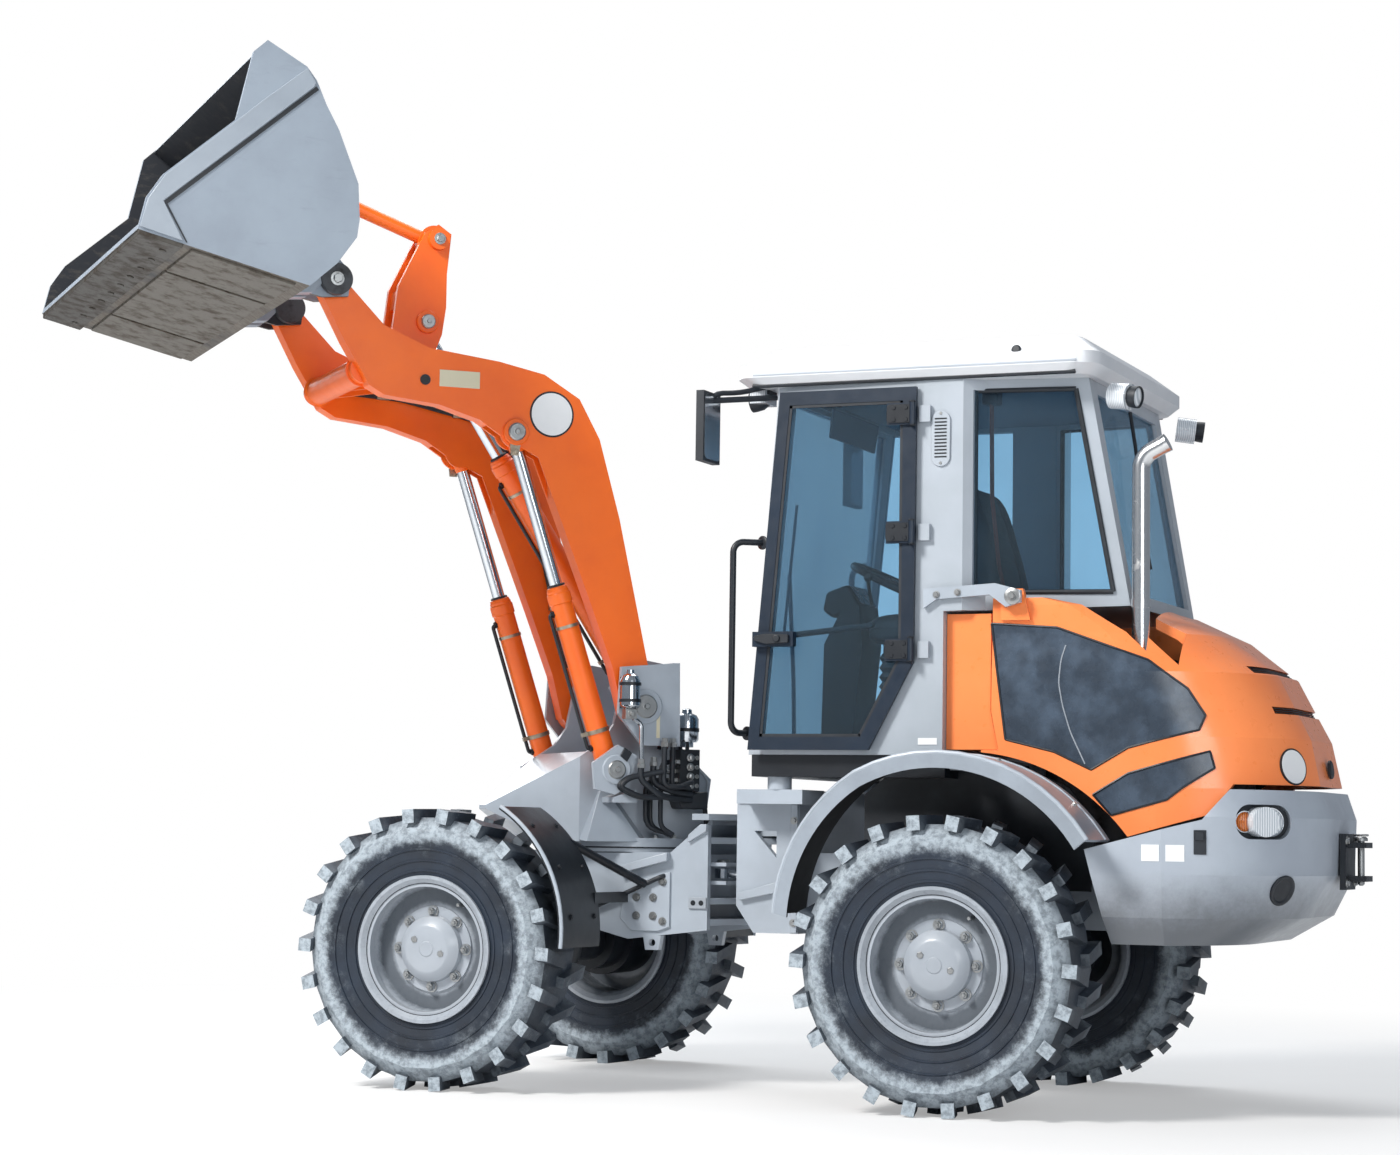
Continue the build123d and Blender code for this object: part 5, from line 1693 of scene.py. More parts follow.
@dataclass
class FrontFrameTrim:
    """Flanges, the tie tab, bolts and the lines of the front frame."""

    face: float = 0.330
    body: str = "front"

    def build(self) -> None:
        """Build the front frame's fittings."""
        flanges = (
            (((1.112, 1.002), (1.138, 1.002), (1.188, 0.960), (1.188, 0.932), (1.112, 0.975)), 0.014),
            (((1.266, 0.894), (1.480, 0.834), (1.466, 0.808), (1.266, 0.860)), 0.034),
        )
        plate = ((1.262, 0.610), (1.310, 0.592), (1.420, 0.592), (1.470, 0.640), (1.450, 0.770),
                 (1.262, 0.818))
        studs = ((1.330, 0.650), (1.400, 0.650), (1.330, 0.720), (1.400, 0.720), (1.290, 0.630),
                 (1.290, 0.780))
        for name, way in SIDES:
            out, face = Vector((0.0, way, 0.0)), way * (self.face + 0.0002)
            flange = Shaper("frame_flange_" + name)
            for corners, wide in flanges:
                flange.slab(upright(corners, way * self.face), out * wide)
            flange.made(GREY, self.body, 0.003)
            doubler, tab = Shaper("frame_doubler_" + name), Shaper("tie_tab_" + name)
            doubler.slab(upright(plate, face), out * 0.010).made(GREY, self.body, 0.002)
            tab.slab(upright(oblong(1.112, 0.681, 1.184, 0.724), face), out * 0.008)
            tab.made(HUB_SILVER, self.body, 0.002)
            # Flat black discs paint the shade inside the tab's two holes.
            hole_shades, bolts = Shaper("tie_tab_holes_" + name), Shaper("frame_bolts_" + name)
            for x in (1.132, 1.165):
                hole_shades.turned(Vector((x, face + way * 0.008, 0.703)), out, ((0.0, 0.010), (0.0012, 0.010)), 20)
            hole_shades.made(BLACK, self.body)
            for x, z in studs:
                bolts.bolt(Vector((x, way * (self.face + 0.010), z)), out, 0.011, 0.012)
            for x in (1.700, 1.800, 2.180, 2.215):
                bolts.bolt(Vector((x, way * self.face, 0.700)), out, 0.013, 0.013)
            bolts.made(PIN, self.body)
            line = run((1.275, way * 0.300, 0.806), (1.290, way * 0.352, 0.802), (1.440, way * 0.352, 0.735),
                       (1.620, way * 0.345, 0.660), (1.850, way * 0.345, 0.655))
            Shaper("frame_line_" + name).tube(line, 0.009, 0.05).made(DARK, self.body)


@dataclass
class ArticulationTrim:
    """Caps and bolts of the articulation pins and the steering cylinders' pins."""

    joint_x: float = 0.995

    def build(self) -> None:
        """Build the articulation's fittings."""
        caps, pins = Shaper("joint_caps"), Shaper("steer_pin_heads")
        for z, way in ((1.0425, UP), (0.6175, -UP)):
            spot = Vector((self.joint_x, 0.0, z))
            caps.turned(spot, way, cap(0.052, 0.008, 0.012, 0.046), 36)
            for turn in (math.pi * (0.25 + index / 2) for index in range(4)):
                around = Vector((math.cos(turn), math.sin(turn), 0.0)) * 0.034
                caps.bolt(spot + around + way * 0.010, way, 0.007, 0.008)
        caps.made(PIN, "front")
        for _, way in SIDES:
            pins.turned(Vector((1.100, way * 0.200, 0.857)), UP, cap(0.026, 0.008, 0.011, 0.022), 28)
        pins.made(PIN, "front")


@dataclass
class RearFrameTrim:
    """The rims, the bolts and the gusset on the rear frame's left and right faces."""

    face: float = 0.430
    body: str = "rear"

    def build(self) -> None:
        """Build the rear frame's fittings."""
        brace = ((0.740, 0.760), (0.930, 0.720), (0.935, 0.748), (0.745, 0.800))
        studs = ((0.740, 1.108), (0.825, 1.108), (0.912, 1.108), (0.716, 0.640), (0.716, 0.860),
                 (0.716, 1.020))
        for name, way in SIDES:
            out, face = Vector((0.0, way, 0.0)), way * self.face
            rim, bolts = Shaper("cheek_rim_" + name), Shaper("cheek_bolts_" + name)
            for corners in (oblong(0.702, 1.085, 0.948, 1.131), oblong(0.702, 0.602, 0.730, 1.080)):
                rim.slab(upright(corners, face), out * 0.012)
            rim.made(GREY, self.body, 0.003)
            for x, z in studs:
                bolts.bolt(Vector((x, way * (self.face + 0.012), z)), out, 0.010, 0.010)
            bolts.made(PIN, self.body)
            gusset = Shaper("cheek_gusset_" + name).slab(upright(brace, face), out * 0.020)
            gusset.made(GREY, self.body, 0.002)


@dataclass
class FenderTrim:
    """Rolled edge beads, struts and bolts of the four fenders."""

    def away(self, x: float, z: float, axle_x: float) -> Vector:
        """The direction from a wheel's axle to a place."""
        return (Vector((x, 0.0, z)) - Vector((axle_x, 0.0, AXLE_HEIGHT))).normalized()

    def rear(self, name: str, way: int) -> None:
        """The grey outer bead, the seam and the bolts along one rear fender.

        Args:
            name: The side's name.
            way: 1 on the left, -1 on the right.
        """
        arc = arch_points(((-0.545, 0.965), (-0.030, 1.262), (0.300, 1.190)), 12)[:-1]
        arc += arch_points(((0.300, 1.190), (0.505, 0.985), (0.600, 0.690)), 9)
        bead = Shaper("rear_fender_bead_" + name).tube(upright(arc, way * 0.939), 0.0085, 0.001, 8)
        bead.made(GREY, "rear")
        seam = [Vector((x, way * 0.700, z)) + self.away(x, z, 0.0) * 0.001 for x, z in arc]
        Shaper("rear_fender_rib_" + name).tube(seam, 0.0045, 0.001, 8).made(GREY, "rear")
        bolts = Shaper("rear_fender_bolts_" + name)
        for x, z in arc[2::4]:
            out = self.away(x, z, 0.0)
            bolts.bolt(Vector((x, way * 0.730, z)) - out * 0.001, out, 0.009, 0.009)
        bolts.made(PIN, "rear")

    def front(self, name: str, way: int) -> None:
        """The pale bead, the black strut and the bolts of one front fender.

        Args:
            name: The side's name.
            way: 1 on the left, -1 on the right.
        """
        arc = arch_points(((1.685, 1.056), (1.520, 0.900), (1.430, 0.540)), 16)
        bead = Shaper("front_fender_bead_" + name).tube(upright(arc, way * 0.946), 0.0075, 0.001, 8)
        bead.made(GREY, "front")
        strut = run((1.612, way * 0.700, 0.970), (1.360, way * 0.352, 0.770))
        Shaper("front_fender_strut_" + name).tube(strut, 0.016, 0.02).made(BLACK, "front")
        bolts = Shaper("front_fender_bolts_" + name)
        for x, z in arc[3:14:5]:
            out = self.away(x, z, WHEELBASE)
            for left in (0.660, 0.860):
                bolts.bolt(Vector((x, way * left, z)) - out * 0.001, out, 0.009, 0.009)
        bolts.made(BLACK, "front")

    def build(self) -> None:
        """Build the fenders' fittings."""
        for name, way in SIDES:
            self.rear(name, way)
            self.front(name, way)


@dataclass
class CabTrim:
    """Gaskets, hinges' bolts, the vent, wipers, handles, levers and the belt of the cab."""

    hinges: tuple[float, ...] = (1.640, 2.067, 2.500)
    vent: Flat = (0.093, 2.408)
    body: str = "rear"

    def gasket(self, corners: Sequence[Flat], y: float, width: float, thick: float) -> Shaper:
        """A flat frame of a width just inside an outline, on the left face.

        Args:
            corners: The outline's corners.
            y: The face that it lies on.
            width: Its width.
            thick: Its thickness.

        Returns:
            The frame's shape.
        """
        x, z = (sum(values) / len(corners) for values in zip(*corners))
        middle = Vector((x, 0.0, z))
        shape = Shaper("door_gasket")
        for first, second in zip(upright(corners, y), upright((*corners[1:], corners[0]), y)):
            along = second - first
            inward = Vector((along.z, 0.0, -along.x)).normalized() * width
            if inward.dot(middle - Vector((first.x, 0.0, first.z))) < 0:
                inward = -inward
            shape.slab([first, second, second + inward, first + inward], Vector((0.0, thick, 0.0)))
        return shape

    def door(self) -> None:
        """The door's gasket, hinges, latch and grab bar."""
        pane = ((0.780, 1.325), (0.675, 2.550), (0.232, 2.550), (0.232, 1.610), (0.385, 1.325))
        self.gasket(pane, 0.6405, 0.011, 0.0035).made(DARK, "door")
        out = Vector((0.0, 1.0, 0.0))
        leaf = ((0.200, -0.034), (0.282, -0.034), (0.290, -0.026), (0.290, 0.026), (0.282, 0.034),
                (0.200, 0.034))
        bolts, plates, caps = (Shaper("door_hinge_" + part) for part in ("bolts", "plates", "caps"))
        for z in self.hinges:
            for x, rise in ((0.215, 0.022), (0.215, -0.022), (0.262, 0.022), (0.262, -0.022)):
                bolts.bolt(Vector((x, 0.658, z + rise)), out, 0.0085, 0.008)
            plates.slab(upright([(x, z + h) for x, h in leaf], 0.6585), out * 0.0045)
            for way in (UP, -UP):
                spot = Vector((0.190, 0.660, z + way.z * 0.040))
                caps.turned(spot, way, cap(0.0125, 0.004, 0.007, 0.009), 20)
        bolts.made(BLACK, "door")
        plates.made(BLACK, "door", 0.0015)
        caps.made(BLACK, "door")
        handle = ((0.655, 1.668), (0.745, 1.664), (0.788, 1.676), (0.790, 1.694), (0.740, 1.702),
                  (0.655, 1.698))
        latch = Shaper("door_latch").slab(upright(handle, 0.675), out * 0.014)
        latch.turned(Vector((0.700, 0.688, 1.684)), out, cap(0.014, 0.006, 0.008, 0.011), 24)
        latch.made(DARK, "door", 0.003)
        grab = run((0.700, 0.622, 1.700), (0.700, 0.585, 1.700), (0.360, 0.585, 1.735), (0.360, 0.622, 1.735))
        Shaper("door_grab_bar").tube(grab, 0.011, 0.035).made(DARK, "door")

    def windows(self) -> None:
        """Rubber seals of the rear side windows, the headliner and the sun visor."""
        pane = ((-0.020, 1.850), (-0.020, 2.585), (-0.380, 2.585), (-0.515, 1.850))
        for name, way in SIDES:
            lean = {x: 0.092 * max(0.0, (x + 0.060) / -0.580) for x, _ in pane}
            corners = [Vector((x, way * (0.5635 - lean[x]), z)) for x, z in pane]
            shape = Shaper("rear_window_seal_" + name)
            for first, second in zip(corners, (*corners[1:], corners[0])):
                shape.tube([first, second], 0.0095, 0.001, 8)
            shape.made(DARK, self.body)
        edge = ((0.660, -0.540), (0.660, 0.540), (-0.020, 0.560), (-0.370, 0.450), (-0.370, -0.450),
                (-0.020, -0.560))
        liner = Shaper("headliner").slab(run(*((x, y, 2.604) for x, y in edge)), UP * 0.014)
        liner.made(LINER, self.body, 0.006)
        flap = run((0.655, -0.260, 2.590), (0.655, 0.260, 2.590), (0.668, 0.250, 2.480),
                   (0.668, -0.250, 2.480))
        Shaper("sun_visor").slab(flap, Vector((-0.010, 0.0, 0.0))).made(LINER, self.body, 0.003)

    def pillar(self, name: str, way: int) -> None:
        """The oval vent with painted shade in its slots, the blank plate and the screws of one rear door
        pillar.

        Args:
            name: The side's name.
            way: 1 on the left, -1 on the right.
        """
        out, (x, z) = Vector((0.0, way, 0.0)), self.vent
        oval = []
        for turn in (FULL_TURN * step / 28 for step in range(28)):
            lift = 0.066 if math.sin(turn) >= 0 else -0.066
            oval.append((x + 0.036 * math.cos(turn), z + lift + 0.036 * math.sin(turn)))
        cover = Shaper("vent_cover_" + name).slab(upright(oval, way * 0.6205), out * 0.007)
        cover.made(CAB_GREY, self.body, 0.002)
        slots, screws = Shaper("vent_slots_" + name), Shaper("vent_screws_" + name)
        # Thin black strips paint the shade in the vent's slots.
        for low in (2.338 + index * 0.0127 for index in range(12)):
            slots.slab(upright(oblong(0.070, low, 0.116, low + 0.0055), way * 0.6272), out * 0.0012)
        slots.made(BLACK, self.body)
        for height in (2.318, 2.500):
            head = ((0.0, 0.006), (0.002, 0.005), (0.002, 0.0))
            screws.turned(Vector((x, way * 0.6275, height)), out, head, 16)
        screws.made(PIN, self.body)
        plate = Shaper("pillar_plate_" + name)
        plate.slab(upright(oblong(0.100, 1.298, 0.172, 1.322), way * 0.6203), out * 0.0012)
        plate.made(SIGN_WHITE, self.body)

    def wipers(self) -> None:
        """The front wiper and the rear wiper."""
        front, rear = Shaper("front_wiper"), Shaper("rear_wiper")
        front.tube(run((0.868, 0.060, 1.300), (0.858, 0.100, 1.560), (0.834, 0.220, 1.960)), 0.008)
        front.tube(run((0.848, 0.240, 1.700), (0.812, 0.205, 2.230)), 0.006)
        drive = cap(0.022, 0.024, 0.030, 0.016)
        front.turned(Vector((0.840, 0.060, 1.290)), Vector((1.0, 0.0, 0.05)), drive, 24).made(DARK, self.body)
        rear.tube(run((-0.455, 0.040, 2.560), (-0.485, 0.060, 2.400), (-0.535, 0.160, 2.120)), 0.007)
        rear.tube(run((-0.502, 0.175, 2.300), (-0.560, 0.130, 1.960)), 0.005).made(DARK, self.body)

    def controls(self) -> None:
        """The spinner knob, the lever with its ball, the armrest and the dashboard."""
        knob = ((0.0, 0.010), (0.022, 0.010), (0.026, 0.024), (0.044, 0.030), (0.060, 0.024), (0.068, 0.008))
        ball = ((0.0, 0.014), (0.012, 0.022), (0.040, 0.028), (0.068, 0.024), (0.082, 0.010))
        spinner = Shaper("spinner_knob")
        spinner.turned(Vector((0.395, 0.165, 1.965)), Vector((-0.42, 0.0, 0.9)), knob, 28)
        spinner.made(DARK, self.body)
        lever, stalk = Shaper("work_lever"), Shaper("turn_lever")
        lever.tube(run((0.300, -0.330, 1.700), (0.310, -0.325, 1.860), (0.330, -0.320, 1.930)), 0.009, 0.05)
        lever.turned(Vector((0.330, -0.320, 1.915)), Vector((0.15, 0.0, 1.0)), ball, 28).made(DARK, self.body)
        stalk.tube(run((0.560, 0.040, 1.850), (0.520, 0.190, 1.900), (0.500, 0.260, 1.935)), 0.007, 0.04)
        tip = ((0.0, 0.010), (0.020, 0.016), (0.036, 0.010))
        stalk.turned(Vector((0.500, 0.252, 1.930)), Vector((-0.2, 1.0, 0.4)), tip, 20).made(DARK, self.body)
        Shaper("armrest").block((0.060, -0.345, 1.700), (0.400, -0.262, 1.770)).made(VINYL, self.body, 0.020)
        hood = ((0.590, 1.852), (0.700, 1.800), (0.742, 1.830), (0.728, 1.900), (0.640, 1.930))
        dial = ((0.5885, 1.856), (0.634, 1.924), (0.632, 1.9255), (0.5865, 1.8575))
        across = Vector((0.0, 1.0, 0.0))
        Shaper("dash_hood").slab(upright(hood, -0.105), across * 0.210).made(DARK, self.body, 0.012)
        Shaper("dash_face").slab(upright(dial, -0.085), across * 0.170).made(PANEL, self.body)

    def belt(self) -> None:
        """The red-brown seat belt that hangs beside the rear window, and its reel."""
        runs = ((-0.058, 0.500, 2.560), (-0.062, 0.500, 2.200), (-0.080, 0.470, 1.960),
                (-0.060, 0.330, 1.860))
        section = ((-0.003, -0.022), (-0.003, 0.022), (0.0, 0.022), (0.0, -0.022))
        rings = [run(*((x + a, y + b, z) for a, b in section)) for x, y, z in runs]
        Shaper("seat_belt").loft(rings).made(BELT, self.body)
        Shaper("belt_reel").block((-0.090, 0.465, 2.540), (-0.030, 0.530, 2.600)).made(DARK, self.body, 0.006)

    def build(self) -> None:
        """Build the cab's fittings."""
        self.door()
        self.windows()
        for name, way in SIDES:
            self.pillar(name, way)
        for job in (self.wipers, self.controls, self.belt):
            job()


@dataclass
class PaddedSeat:
    """The upholstered seat: a crowned cushion, a tall back with side bolsters, piping, hinges and bellows."""

    cuts: int = 44
    roundness: float = 5.0
    crown: float = 0.012
    bolster_start: float = 0.62
    body: str = "rear"

    def relief(self, along: float, across: float, height: float, channels: int) -> float:
        """How far the upper face rises or sinks at a place, with each measure from -1 to 1.

        Args:
            along: The place along the cushion.
            across: The place across it.
            height: The height from its middle.
            channels: Number of sewn channels.

        Returns:
            The rise, or the fall where it is negative.
        """
        flat = max(0.0, 1.0 - along ** 2) * max(0.0, 1.0 - across ** 2)
        start = self.bolster_start
        bolster = min(1.0, max(0.0, abs(across) - start) / (1.0 - start))
        rise = self.crown * flat * max(height, 0.0)
        rise += 0.020 * math.sin(bolster * math.pi) * max(0.0, 1.0 - abs(along) ** 4)
        groove = math.exp(-(((abs(across) - start) / 0.035) ** 2)) * max(0.0, 1.0 - abs(along) ** 6)
        place = (along * 0.5 + 0.5) * channels
        sewn = abs(across) < start and 0.4 < place < channels - 0.4
        seam = math.exp(-((abs(place - round(place)) / 0.055) ** 2)) if sewn else 0.0
        return rise - 0.007 * groove - 0.006 * seam

    def crowned(
        self, name: str, low: Point, high: Point, tip: float, pull: float, channels: int,
    ) -> bpy.types.Object:
        """A crowned cushion with sewn channels, its sides drawn in between the corners.

        Args:
            name: The piece's name.
            low: Its lowest corner before it is tipped.
            high: Its highest corner before it is tipped.
            tip: How far it is leant back, in degrees.
            pull: How far its sides pull in between the corners.
            channels: Number of sewn channels across its face.

        Returns:
            The cushion.
        """
        size = [b - a for a, b in zip(low, high)]
        middle = [(a + b) / 2 for a, b in zip(low, high)]
        mesh = bmesh.new()
        bmesh.ops.create_cube(mesh, size=2.0)
        bmesh.ops.subdivide_edges(mesh, edges=mesh.edges[:], cuts=self.cuts, use_grid_fill=True)
        for vert in mesh.verts:
            ball = max(1e-6, sum(abs(c) ** self.roundness for c in vert.co) ** (1.0 / self.roundness))
            along, across, height = (c / ball for c in vert.co)
            x = along * size[0] / 2 * (1.0 - pull * (1.0 - across * across))
            y = across * size[1] / 2 * (1.0 - pull * (1.0 - along * along))
            lift = self.relief(along, across, height, channels) if vert.co.z > 0 else 0.0
            vert.co = (x, y, height * size[2] / 2 + lift)
        turn = Matrix.Rotation(math.radians(tip), 4, "Y")
        bmesh.ops.transform(mesh, matrix=Matrix.Translation(middle) @ turn, verts=mesh.verts)
        return Shaper(name, mesh).made(VINYL, self.body, soft=80.0)

    def build(self) -> None:
        """Build the seat's pads, piping, hinges and bellows."""
        base = self.crowned("seat_cushion", (0.134, -0.236, 1.692), (0.536, 0.236, 1.786), 0.0, 0.03, 4)
        back = self.crowned("seat_back", (-0.155, -0.216, 2.010), (0.345, 0.216, 2.094), -74.0, 0.04, 5)
        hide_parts("seat")
        edge = ((0.180, 0.226), (0.490, 0.226), (0.528, 0.180), (0.528, -0.180), (0.490, -0.226),
                (0.180, -0.226))
        piping = Shaper("seat_piping").tube(run(*((x, y, 1.752) for x, y in edge)), 0.0042, 0.04, 8)
        piping.made(DARK, self.body)
        hinge, rings = Shaper("seat_hinges"), []
        leaf = ((0.120, 1.700), (0.240, 1.700), (0.210, 1.780), (0.160, 1.860), (0.110, 1.860))
        for _, way in SIDES:
            hinge.slab(upright(leaf, way * 0.222), Vector((0.0, way * 0.016, 0.0)))
        hinge.made(DARK, self.body, 0.004)
        for index in range(13):
            grow = 0.010 if index % 2 else 0.0
            outline = oblong(0.150 - grow, -0.192 - grow, 0.462 + grow, 0.192 + grow)
            rings.append([Vector((x, y, 1.440 + index * 0.018)) for x, y in outline])
        Shaper("seat_bellows").loft(rings).made(DARK, self.body)


@dataclass
class RoofTrim:
    """The roof's groove and drip rail, its plugs, the lamps' brackets and the lamps."""

    body: str = "rear"

    def lamp(self, name: str, spot: Point, axis: Point, r: float = 0.040) -> None:
        """Build one round lamp: a black housing and a clear lens.

        Args:
            name: The lamp's name.
            spot: The middle of its back.
            axis: Which way it shines.
            r: Its radius.
        """
        way, centre = Vector(axis).normalized(), Vector(spot)
        shell = ((0.0, r * 0.62), (0.022, r * 0.92), (0.050, r), (0.064, r), (0.064, r * 0.90),
                 (0.050, r * 0.88))
        Shaper(name + "_housing").turned(centre, way, shell, 36).made(DARK, self.body)
        bowl = ((0.0, r * 0.88), (0.006, r * 0.88), (0.010, r * 0.60), (0.012, 0.0))
        Shaper(name + "_lens").turned(centre + way * 0.051, way, bowl, 36).made(LENS, self.body)

    def build(self) -> None:
        """Build the roof's fittings."""
        names = ("roof_groove", "roof_drip", "roof_plug", "lamp_brackets")
        groove, drip, plug, brackets = (Shaper(label) for label in names)
        for _, way in SIDES:
            groove.tube(run((0.820, way * 0.652, 2.668), (-0.420, way * 0.652, 2.668)), 0.0055, 0.01, 8)
            drip.tube(run((0.830, way * 0.626, 2.632), (-0.410, way * 0.626, 2.632)), 0.009, 0.01, 8)
            spot, axis = Vector((-0.195, way * 0.640, 2.716)), Vector((0.0, way, 0.25))
            plug.turned(spot, axis, cap(0.018, 0.005, 0.009, 0.012), 24)
            brackets.block((0.790, way * 0.520 - 0.040, 2.610), (0.866, way * 0.520 + 0.040, 2.632))
        groove.made(ROOF_SHADE, self.body)
        drip.made(DARK, self.body)
        plug.made(DARK, self.body)
        brackets.made(DARK, self.body, 0.004)
        for name, way in SIDES:
            self.lamp("work_lamp_" + name, (0.812, way * 0.520, 2.596), (1.0, 0.0, -0.12))
            self.lamp("rear_lamp_" + name, (-0.545, way * 0.480, 2.556), (-1.0, way * 0.22, -0.15))


@dataclass
class MirrorTrim:
    """Housings, glass and arms of the two outside mirrors, and the handrails' feet."""

    body: str = "rear"

    def build(self) -> None:
        """Build the mirrors' fittings."""
        for name, way in SIDES:
            low, high = sorted((way * 0.700, way * 0.860))
            rings = [
                run(*((x, y, z) for y, z in rounded_outline(low - g, high + g, 2.330 - g, 2.590 + g, 0.030)))
                for x, g in ((0.9605, -0.006), (0.952, 0.000), (0.936, -0.001))
            ]
            Shaper("mirror_shell_" + name).loft(rings).made(DARK, self.body)
            inner = rounded_outline(low + 0.008, high - 0.008, 2.340, 2.580, 0.024)
            pane = run(*((0.9295, y, z) for y, z in inner))
            Shaper("mirror_glass_" + name).slab(pane, Vector((-0.002, 0.0, 0.0))).made(CHROME, self.body)
            arm = run((0.790, way * 0.560, 2.640), (0.860, way * 0.680, 2.600), (0.940, way * 0.770, 2.590),
                      (0.942, way * 0.780, 2.470))
            Shaper("mirror_arm_" + name).tube(arm, 0.010, 0.05).made(DARK, self.body)
            foot = Shaper("handrail_feet_" + name)
            for x, z in ((0.858, 1.340), (0.806, 2.050)):
                spot, axis = Vector((x, way * 0.565, z)), Vector((0.5, way, 0.0))
                foot.turned(spot, axis, cap(0.026, 0.006, 0.009, 0.020), 24)
            foot.made(BLACK, self.body)


@dataclass
class HoodTrim:
    """Panel rims, slats, the pinstripe, the blank round sign, the latch and the hinge arms' bolts."""

    sign: Flat = (-1.125, 1.232)
    body: str = "hood"

    def build(self) -> None:
        """Build the hood's fittings."""
        panels = {
            "upper": ((-0.092, 1.735), (-0.335, 1.718), (-0.664, 1.601), (-0.800, 1.500), (-0.861, 1.406),
                      (-0.843, 1.354), (-0.600, 1.290), (-0.466, 1.212), (-0.330, 1.275), (-0.151, 1.318)),
            "lower": ((-0.473, 1.124), (-0.600, 1.200), (-0.880, 1.280), (-0.896, 1.221), (-0.790, 1.150),
                      (-0.737, 1.108), (-0.539, 1.052)),
        }
        line = ((-0.369, 1.654), (-0.352, 1.600), (-0.345, 1.520), (-0.360, 1.440), (-0.390, 1.345),
                (-0.444, 1.232))
        for name, way in SIDES:
            for label, corners in panels.items():
                dense = split_outline(corners, 0.05)
                edge = HOOD.laid([*dense, dense[0]], way, 0.0005)
                Shaper(f"panel_rim_{label}_{name}").tube(edge, 0.0042, 0.004, 6).made(BLACK, self.body)
            stripe = HOOD.laid(line, way, 0.0008)
            Shaper("panel_stripe_" + name).tube(stripe, 0.0026, 0.02, 6).made(HUB_SILVER, self.body)
            spot, axis = HOOD.frame(*self.sign, way)
            sizes = ((0.066, 0.0105), (0.060, 0.0016))
            disc, face = (((0.0, r), (thick, r), (thick, 0.0)) for r, thick in sizes)
            Shaper("hood_sign_" + name).turned(spot - axis * 0.008, axis, disc, 48).made(BLACK, self.body)
            sign = Shaper("hood_sign_face_" + name).turned(spot + axis * 0.0022, axis, face, 48)
            sign.made(SIGN_WHITE, self.body)
            out, bolt = Vector((0.0, way, 0.0)), Shaper("hood_pivot_" + name)
            bolt.turned(Vector((-0.186, way * 0.6412, 1.828)), out, cap(0.030, 0.004, 0.006, 0.026), 36)
            bolt.bolt(Vector((-0.186, way * 0.646, 1.828)), out, 0.013, 0.013)
            for x, z in ((0.100, 1.838), (0.020, 1.845)):
                bolt.bolt(Vector((x, way * 0.6412, z)), out, 0.009, 0.009)
            bolt.made(PIN, "rear")
        slats = Shaper("hood_slats")
        for bottom in (1.565, 1.420):
            for rise in (0.005, 0.0125, 0.020):
                slats.tube(HOOD.tail_line(bottom + rise, 0.325, 0.014), 0.0026, 0.002, 6)
        slats.made(BLACK, self.body)
        latch = Shaper("hood_latch")
        latch.turned(Vector((-1.187, 0.0, 1.230)), Vector((-1.0, 0.0, 0.10)), cap(0.034, 0.008, 0.012, 0.028))
        latch.made(DARK, self.body)


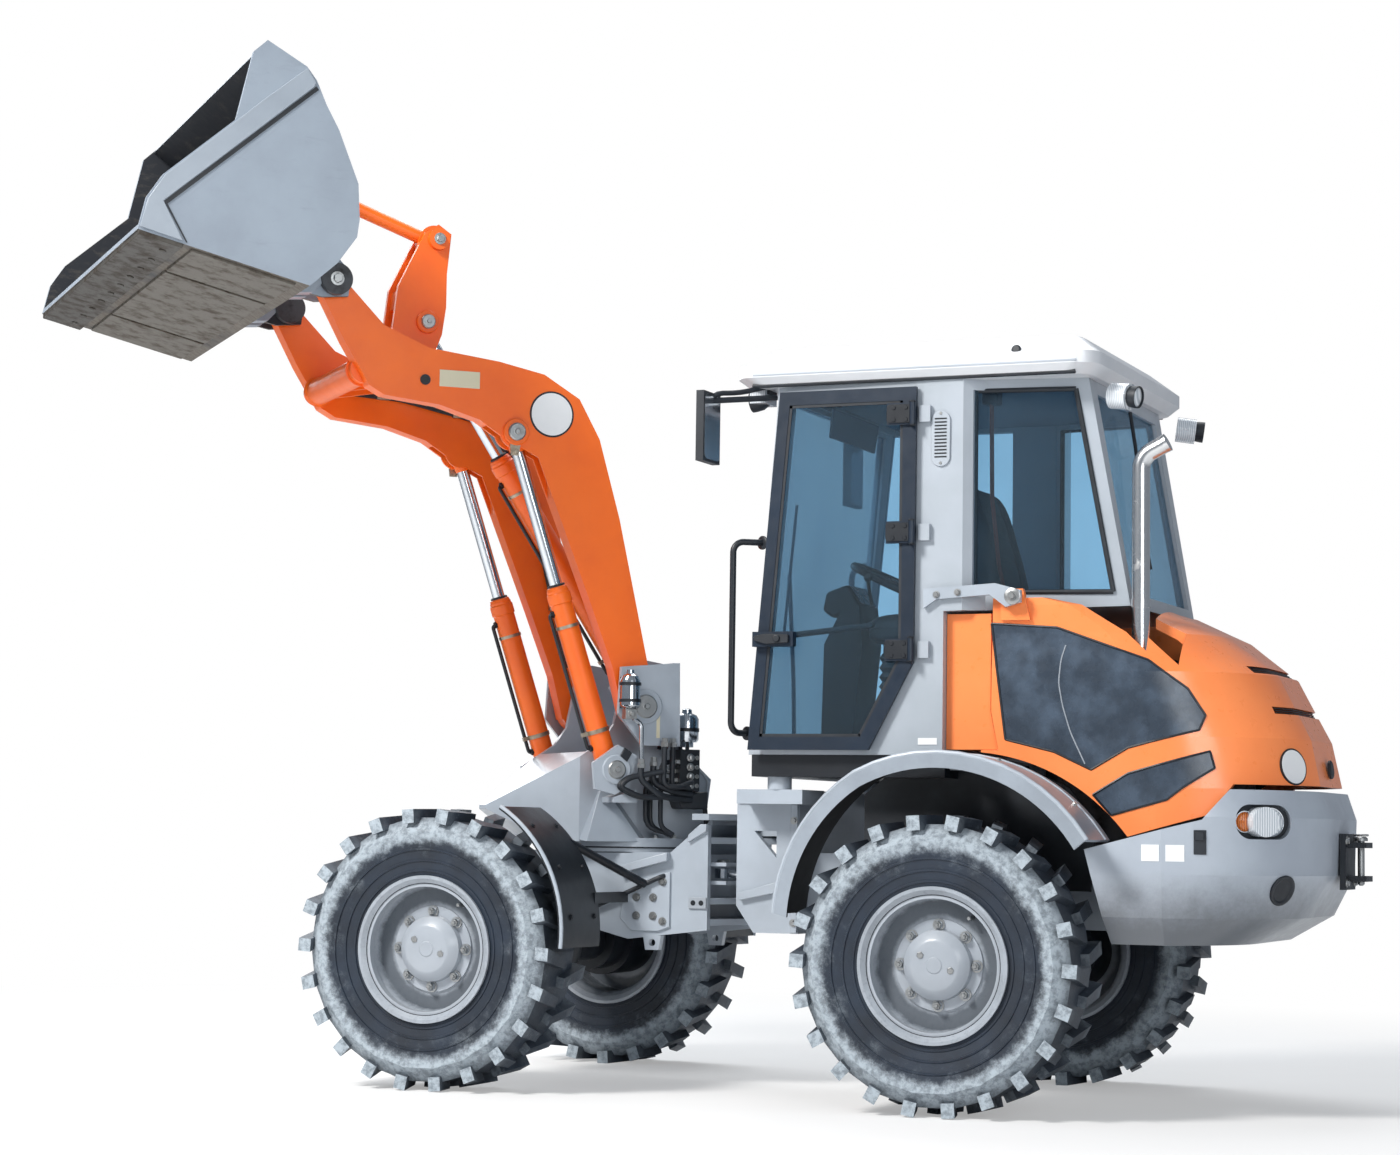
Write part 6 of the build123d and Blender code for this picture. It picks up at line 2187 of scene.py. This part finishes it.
@dataclass
class TailTrim:
    """Lamps, blank plates, latches, the towing pin, the arch liners and the exhaust's rims."""

    body: str = "rear"

    def lamps(self, name: str, way: int) -> None:
        """The long recess of one side with its amber and its white lamp.

        Args:
            name: The side's name.
            way: 1 on the left, -1 on the right.
        """
        out = Vector((-0.66, way * 0.75, 0.0)).normalized()
        along = Vector((-0.75, -way * 0.66, 0.0)).normalized()
        centre = Vector((-1.085, way * 0.590, 1.035)) - out * 0.052
        oval = [centre + along * a + UP * b for a, b in capsule(36, 0.054, 0.056)]
        Shaper("lamp_back_" + name).slab(oval, out * 0.010).made(DARK, self.body)
        for label, shift, finish, r in (("amber", -0.066, AMBER, 0.034), ("white", 0.036, LENS, 0.046)):
            spot = centre + along * shift + out * 0.009
            dome = ((0.0, r), (0.010, r), (0.018, r * 0.77), (0.021, r * 0.36), (0.022, 0.0))
            rim = ((0.0, r), (0.013, r), (0.014, r + 0.004), (0.0, r + 0.006))
            Shaper(f"tail_{label}_{name}").turned(spot, out, dome, 36).made(finish, self.body)
            Shaper(f"tail_{label}_rim_{name}").turned(spot, out, rim, 36, ring=True).made(CHROME, self.body)

    def plates(self, name: str, way: int) -> None:
        """The blank plates, the latch and the round pocket of one side.

        Args:
            name: The side's name.
            way: 1 on the left, -1 on the right.
        """
        out = Vector((0.0, way, 0.0))
        plates, latch = Shaper("tail_plates_" + name), Shaper("tail_latch_" + name)
        for x in (-0.752, -0.836):
            plates.slab(COUNTERWEIGHT.laid(oblong(x, 0.895, x + 0.062, 0.952), way), out * 0.0015)
        plates.made(SIGN_WHITE, self.body)
        for corners, thick in (
            (oblong(-0.906, 0.920, -0.866, 1.004), 0.004),
            (oblong(-0.900, 0.968, -0.872, 0.998), 0.010),
        ):
            latch.slab(COUNTERWEIGHT.laid(corners, way), out * thick)
        latch.made(DARK, self.body, 0.003)
        spot, axis = COUNTERWEIGHT.frame(-1.120, 0.800, way)
        pocket = ((0.0, 0.056), (0.012, 0.056), (0.012, 0.046), (0.007, 0.040), (0.007, 0.0))
        shape = Shaper("tail_pocket_" + name).turned(spot - axis * 0.006, axis, pocket, 28)
        shape.made(DARK, self.body, 0.002)

    def hitch(self) -> None:
        """The towing pin with its ring, and the hitch's bolts."""
        pin = ((0.0, 0.006), (0.006, 0.0125), (0.160, 0.0125), (0.160, 0.024), (0.170, 0.024), (0.176, 0.016),
               (0.176, 0.0))
        Shaper("towing_pin").turned(Vector((-1.300, 0.0, 0.815)), UP, pin, 28).made(PIN, self.body)
        turns = (FULL_TURN * step / 16 for step in range(17))
        hoop = [Vector((-1.300 + 0.024 * math.cos(turn), 0.024 * math.sin(turn), 0.996)) for turn in turns]
        Shaper("towing_pin_ring").tube(hoop, 0.004, 0.002, 8).made(PIN, self.body)

    def liners(self) -> None:
        """The black liners inside the rear wheel arches."""
        edge = ((-0.42, 0.78), (-0.44, 1.02), (-0.34, 1.15), (-0.16, 1.23), (0.05, 1.25), (0.30, 1.23),
                (0.44, 1.12), (0.44, 0.78))
        liner = Shaper("arch_liners")
        for side in (-1.0, 1.0):
            liner.slab(upright(edge, side * 0.425), Vector((0.0, side * 0.012, 0.0)))
        liner.made(DARK, self.body)

    def build(self) -> None:
        """Build the tail's fittings."""
        for name, way in SIDES:
            self.lamps(name, way)
            self.plates(name, way)
        self.hitch()
        self.liners()
        bolts = Shaper("hitch_bolts")
        for y in (-0.074, 0.074):
            for z in (0.825, 0.975):
                bolts.bolt(Vector((-1.262, y, z)), Vector((-1.0, 0.0, 0.0)), 0.011, 0.012)
        bolts.made(PIN, self.body)
        tip = Vector((-0.097, 0.0, 0.050)).normalized()
        lip = ((0.0, 0.0325), (0.016, 0.0335), (0.016, 0.0285), (0.0, 0.0285))
        rim = Shaper("exhaust_rim")
        rim.turned(Vector((-0.715, 0.500, 2.380)) - tip * 0.016, tip, lip, 40, ring=True)
        rim.turned(Vector((-0.618, 0.500, 1.790)), UP, band(0.032, 0.0035, 0.030), 40, ring=True)
        rim.made(EXHAUST, self.body)


def main() -> None:
    """Build the studio and every sub-assembly in order."""
    logging.basicConfig(level=logging.INFO, format="%(name)s %(message)s")
    Studio().build()
    dress_cad()
    for wheel in Wheel:
        WheelTrim(wheel).build()
    for name, way in SIDES:
        lift = (LIFT_BASE, LIFT_EYE, way * 0.350, "lift_barrels", "lift_rods", 0.720, 0.043)
        RamTrim("lift_" + name, *lift).build()
    RamTrim("tilt", TILT_BASE, LEVER_EYE, 0.0, "tilt_barrel", "tilt_rod", 1.050, 0.045).build()
    for trim in (BoomTrim, LeverTrim, BucketTrim, TowerTrim, FrontFrameTrim, ArticulationTrim, RearFrameTrim,
                 FenderTrim, CabTrim, PaddedSeat, RoofTrim, MirrorTrim, HoodTrim, TailTrim):
        trim().build()


if __name__ == "__main__":
    main()
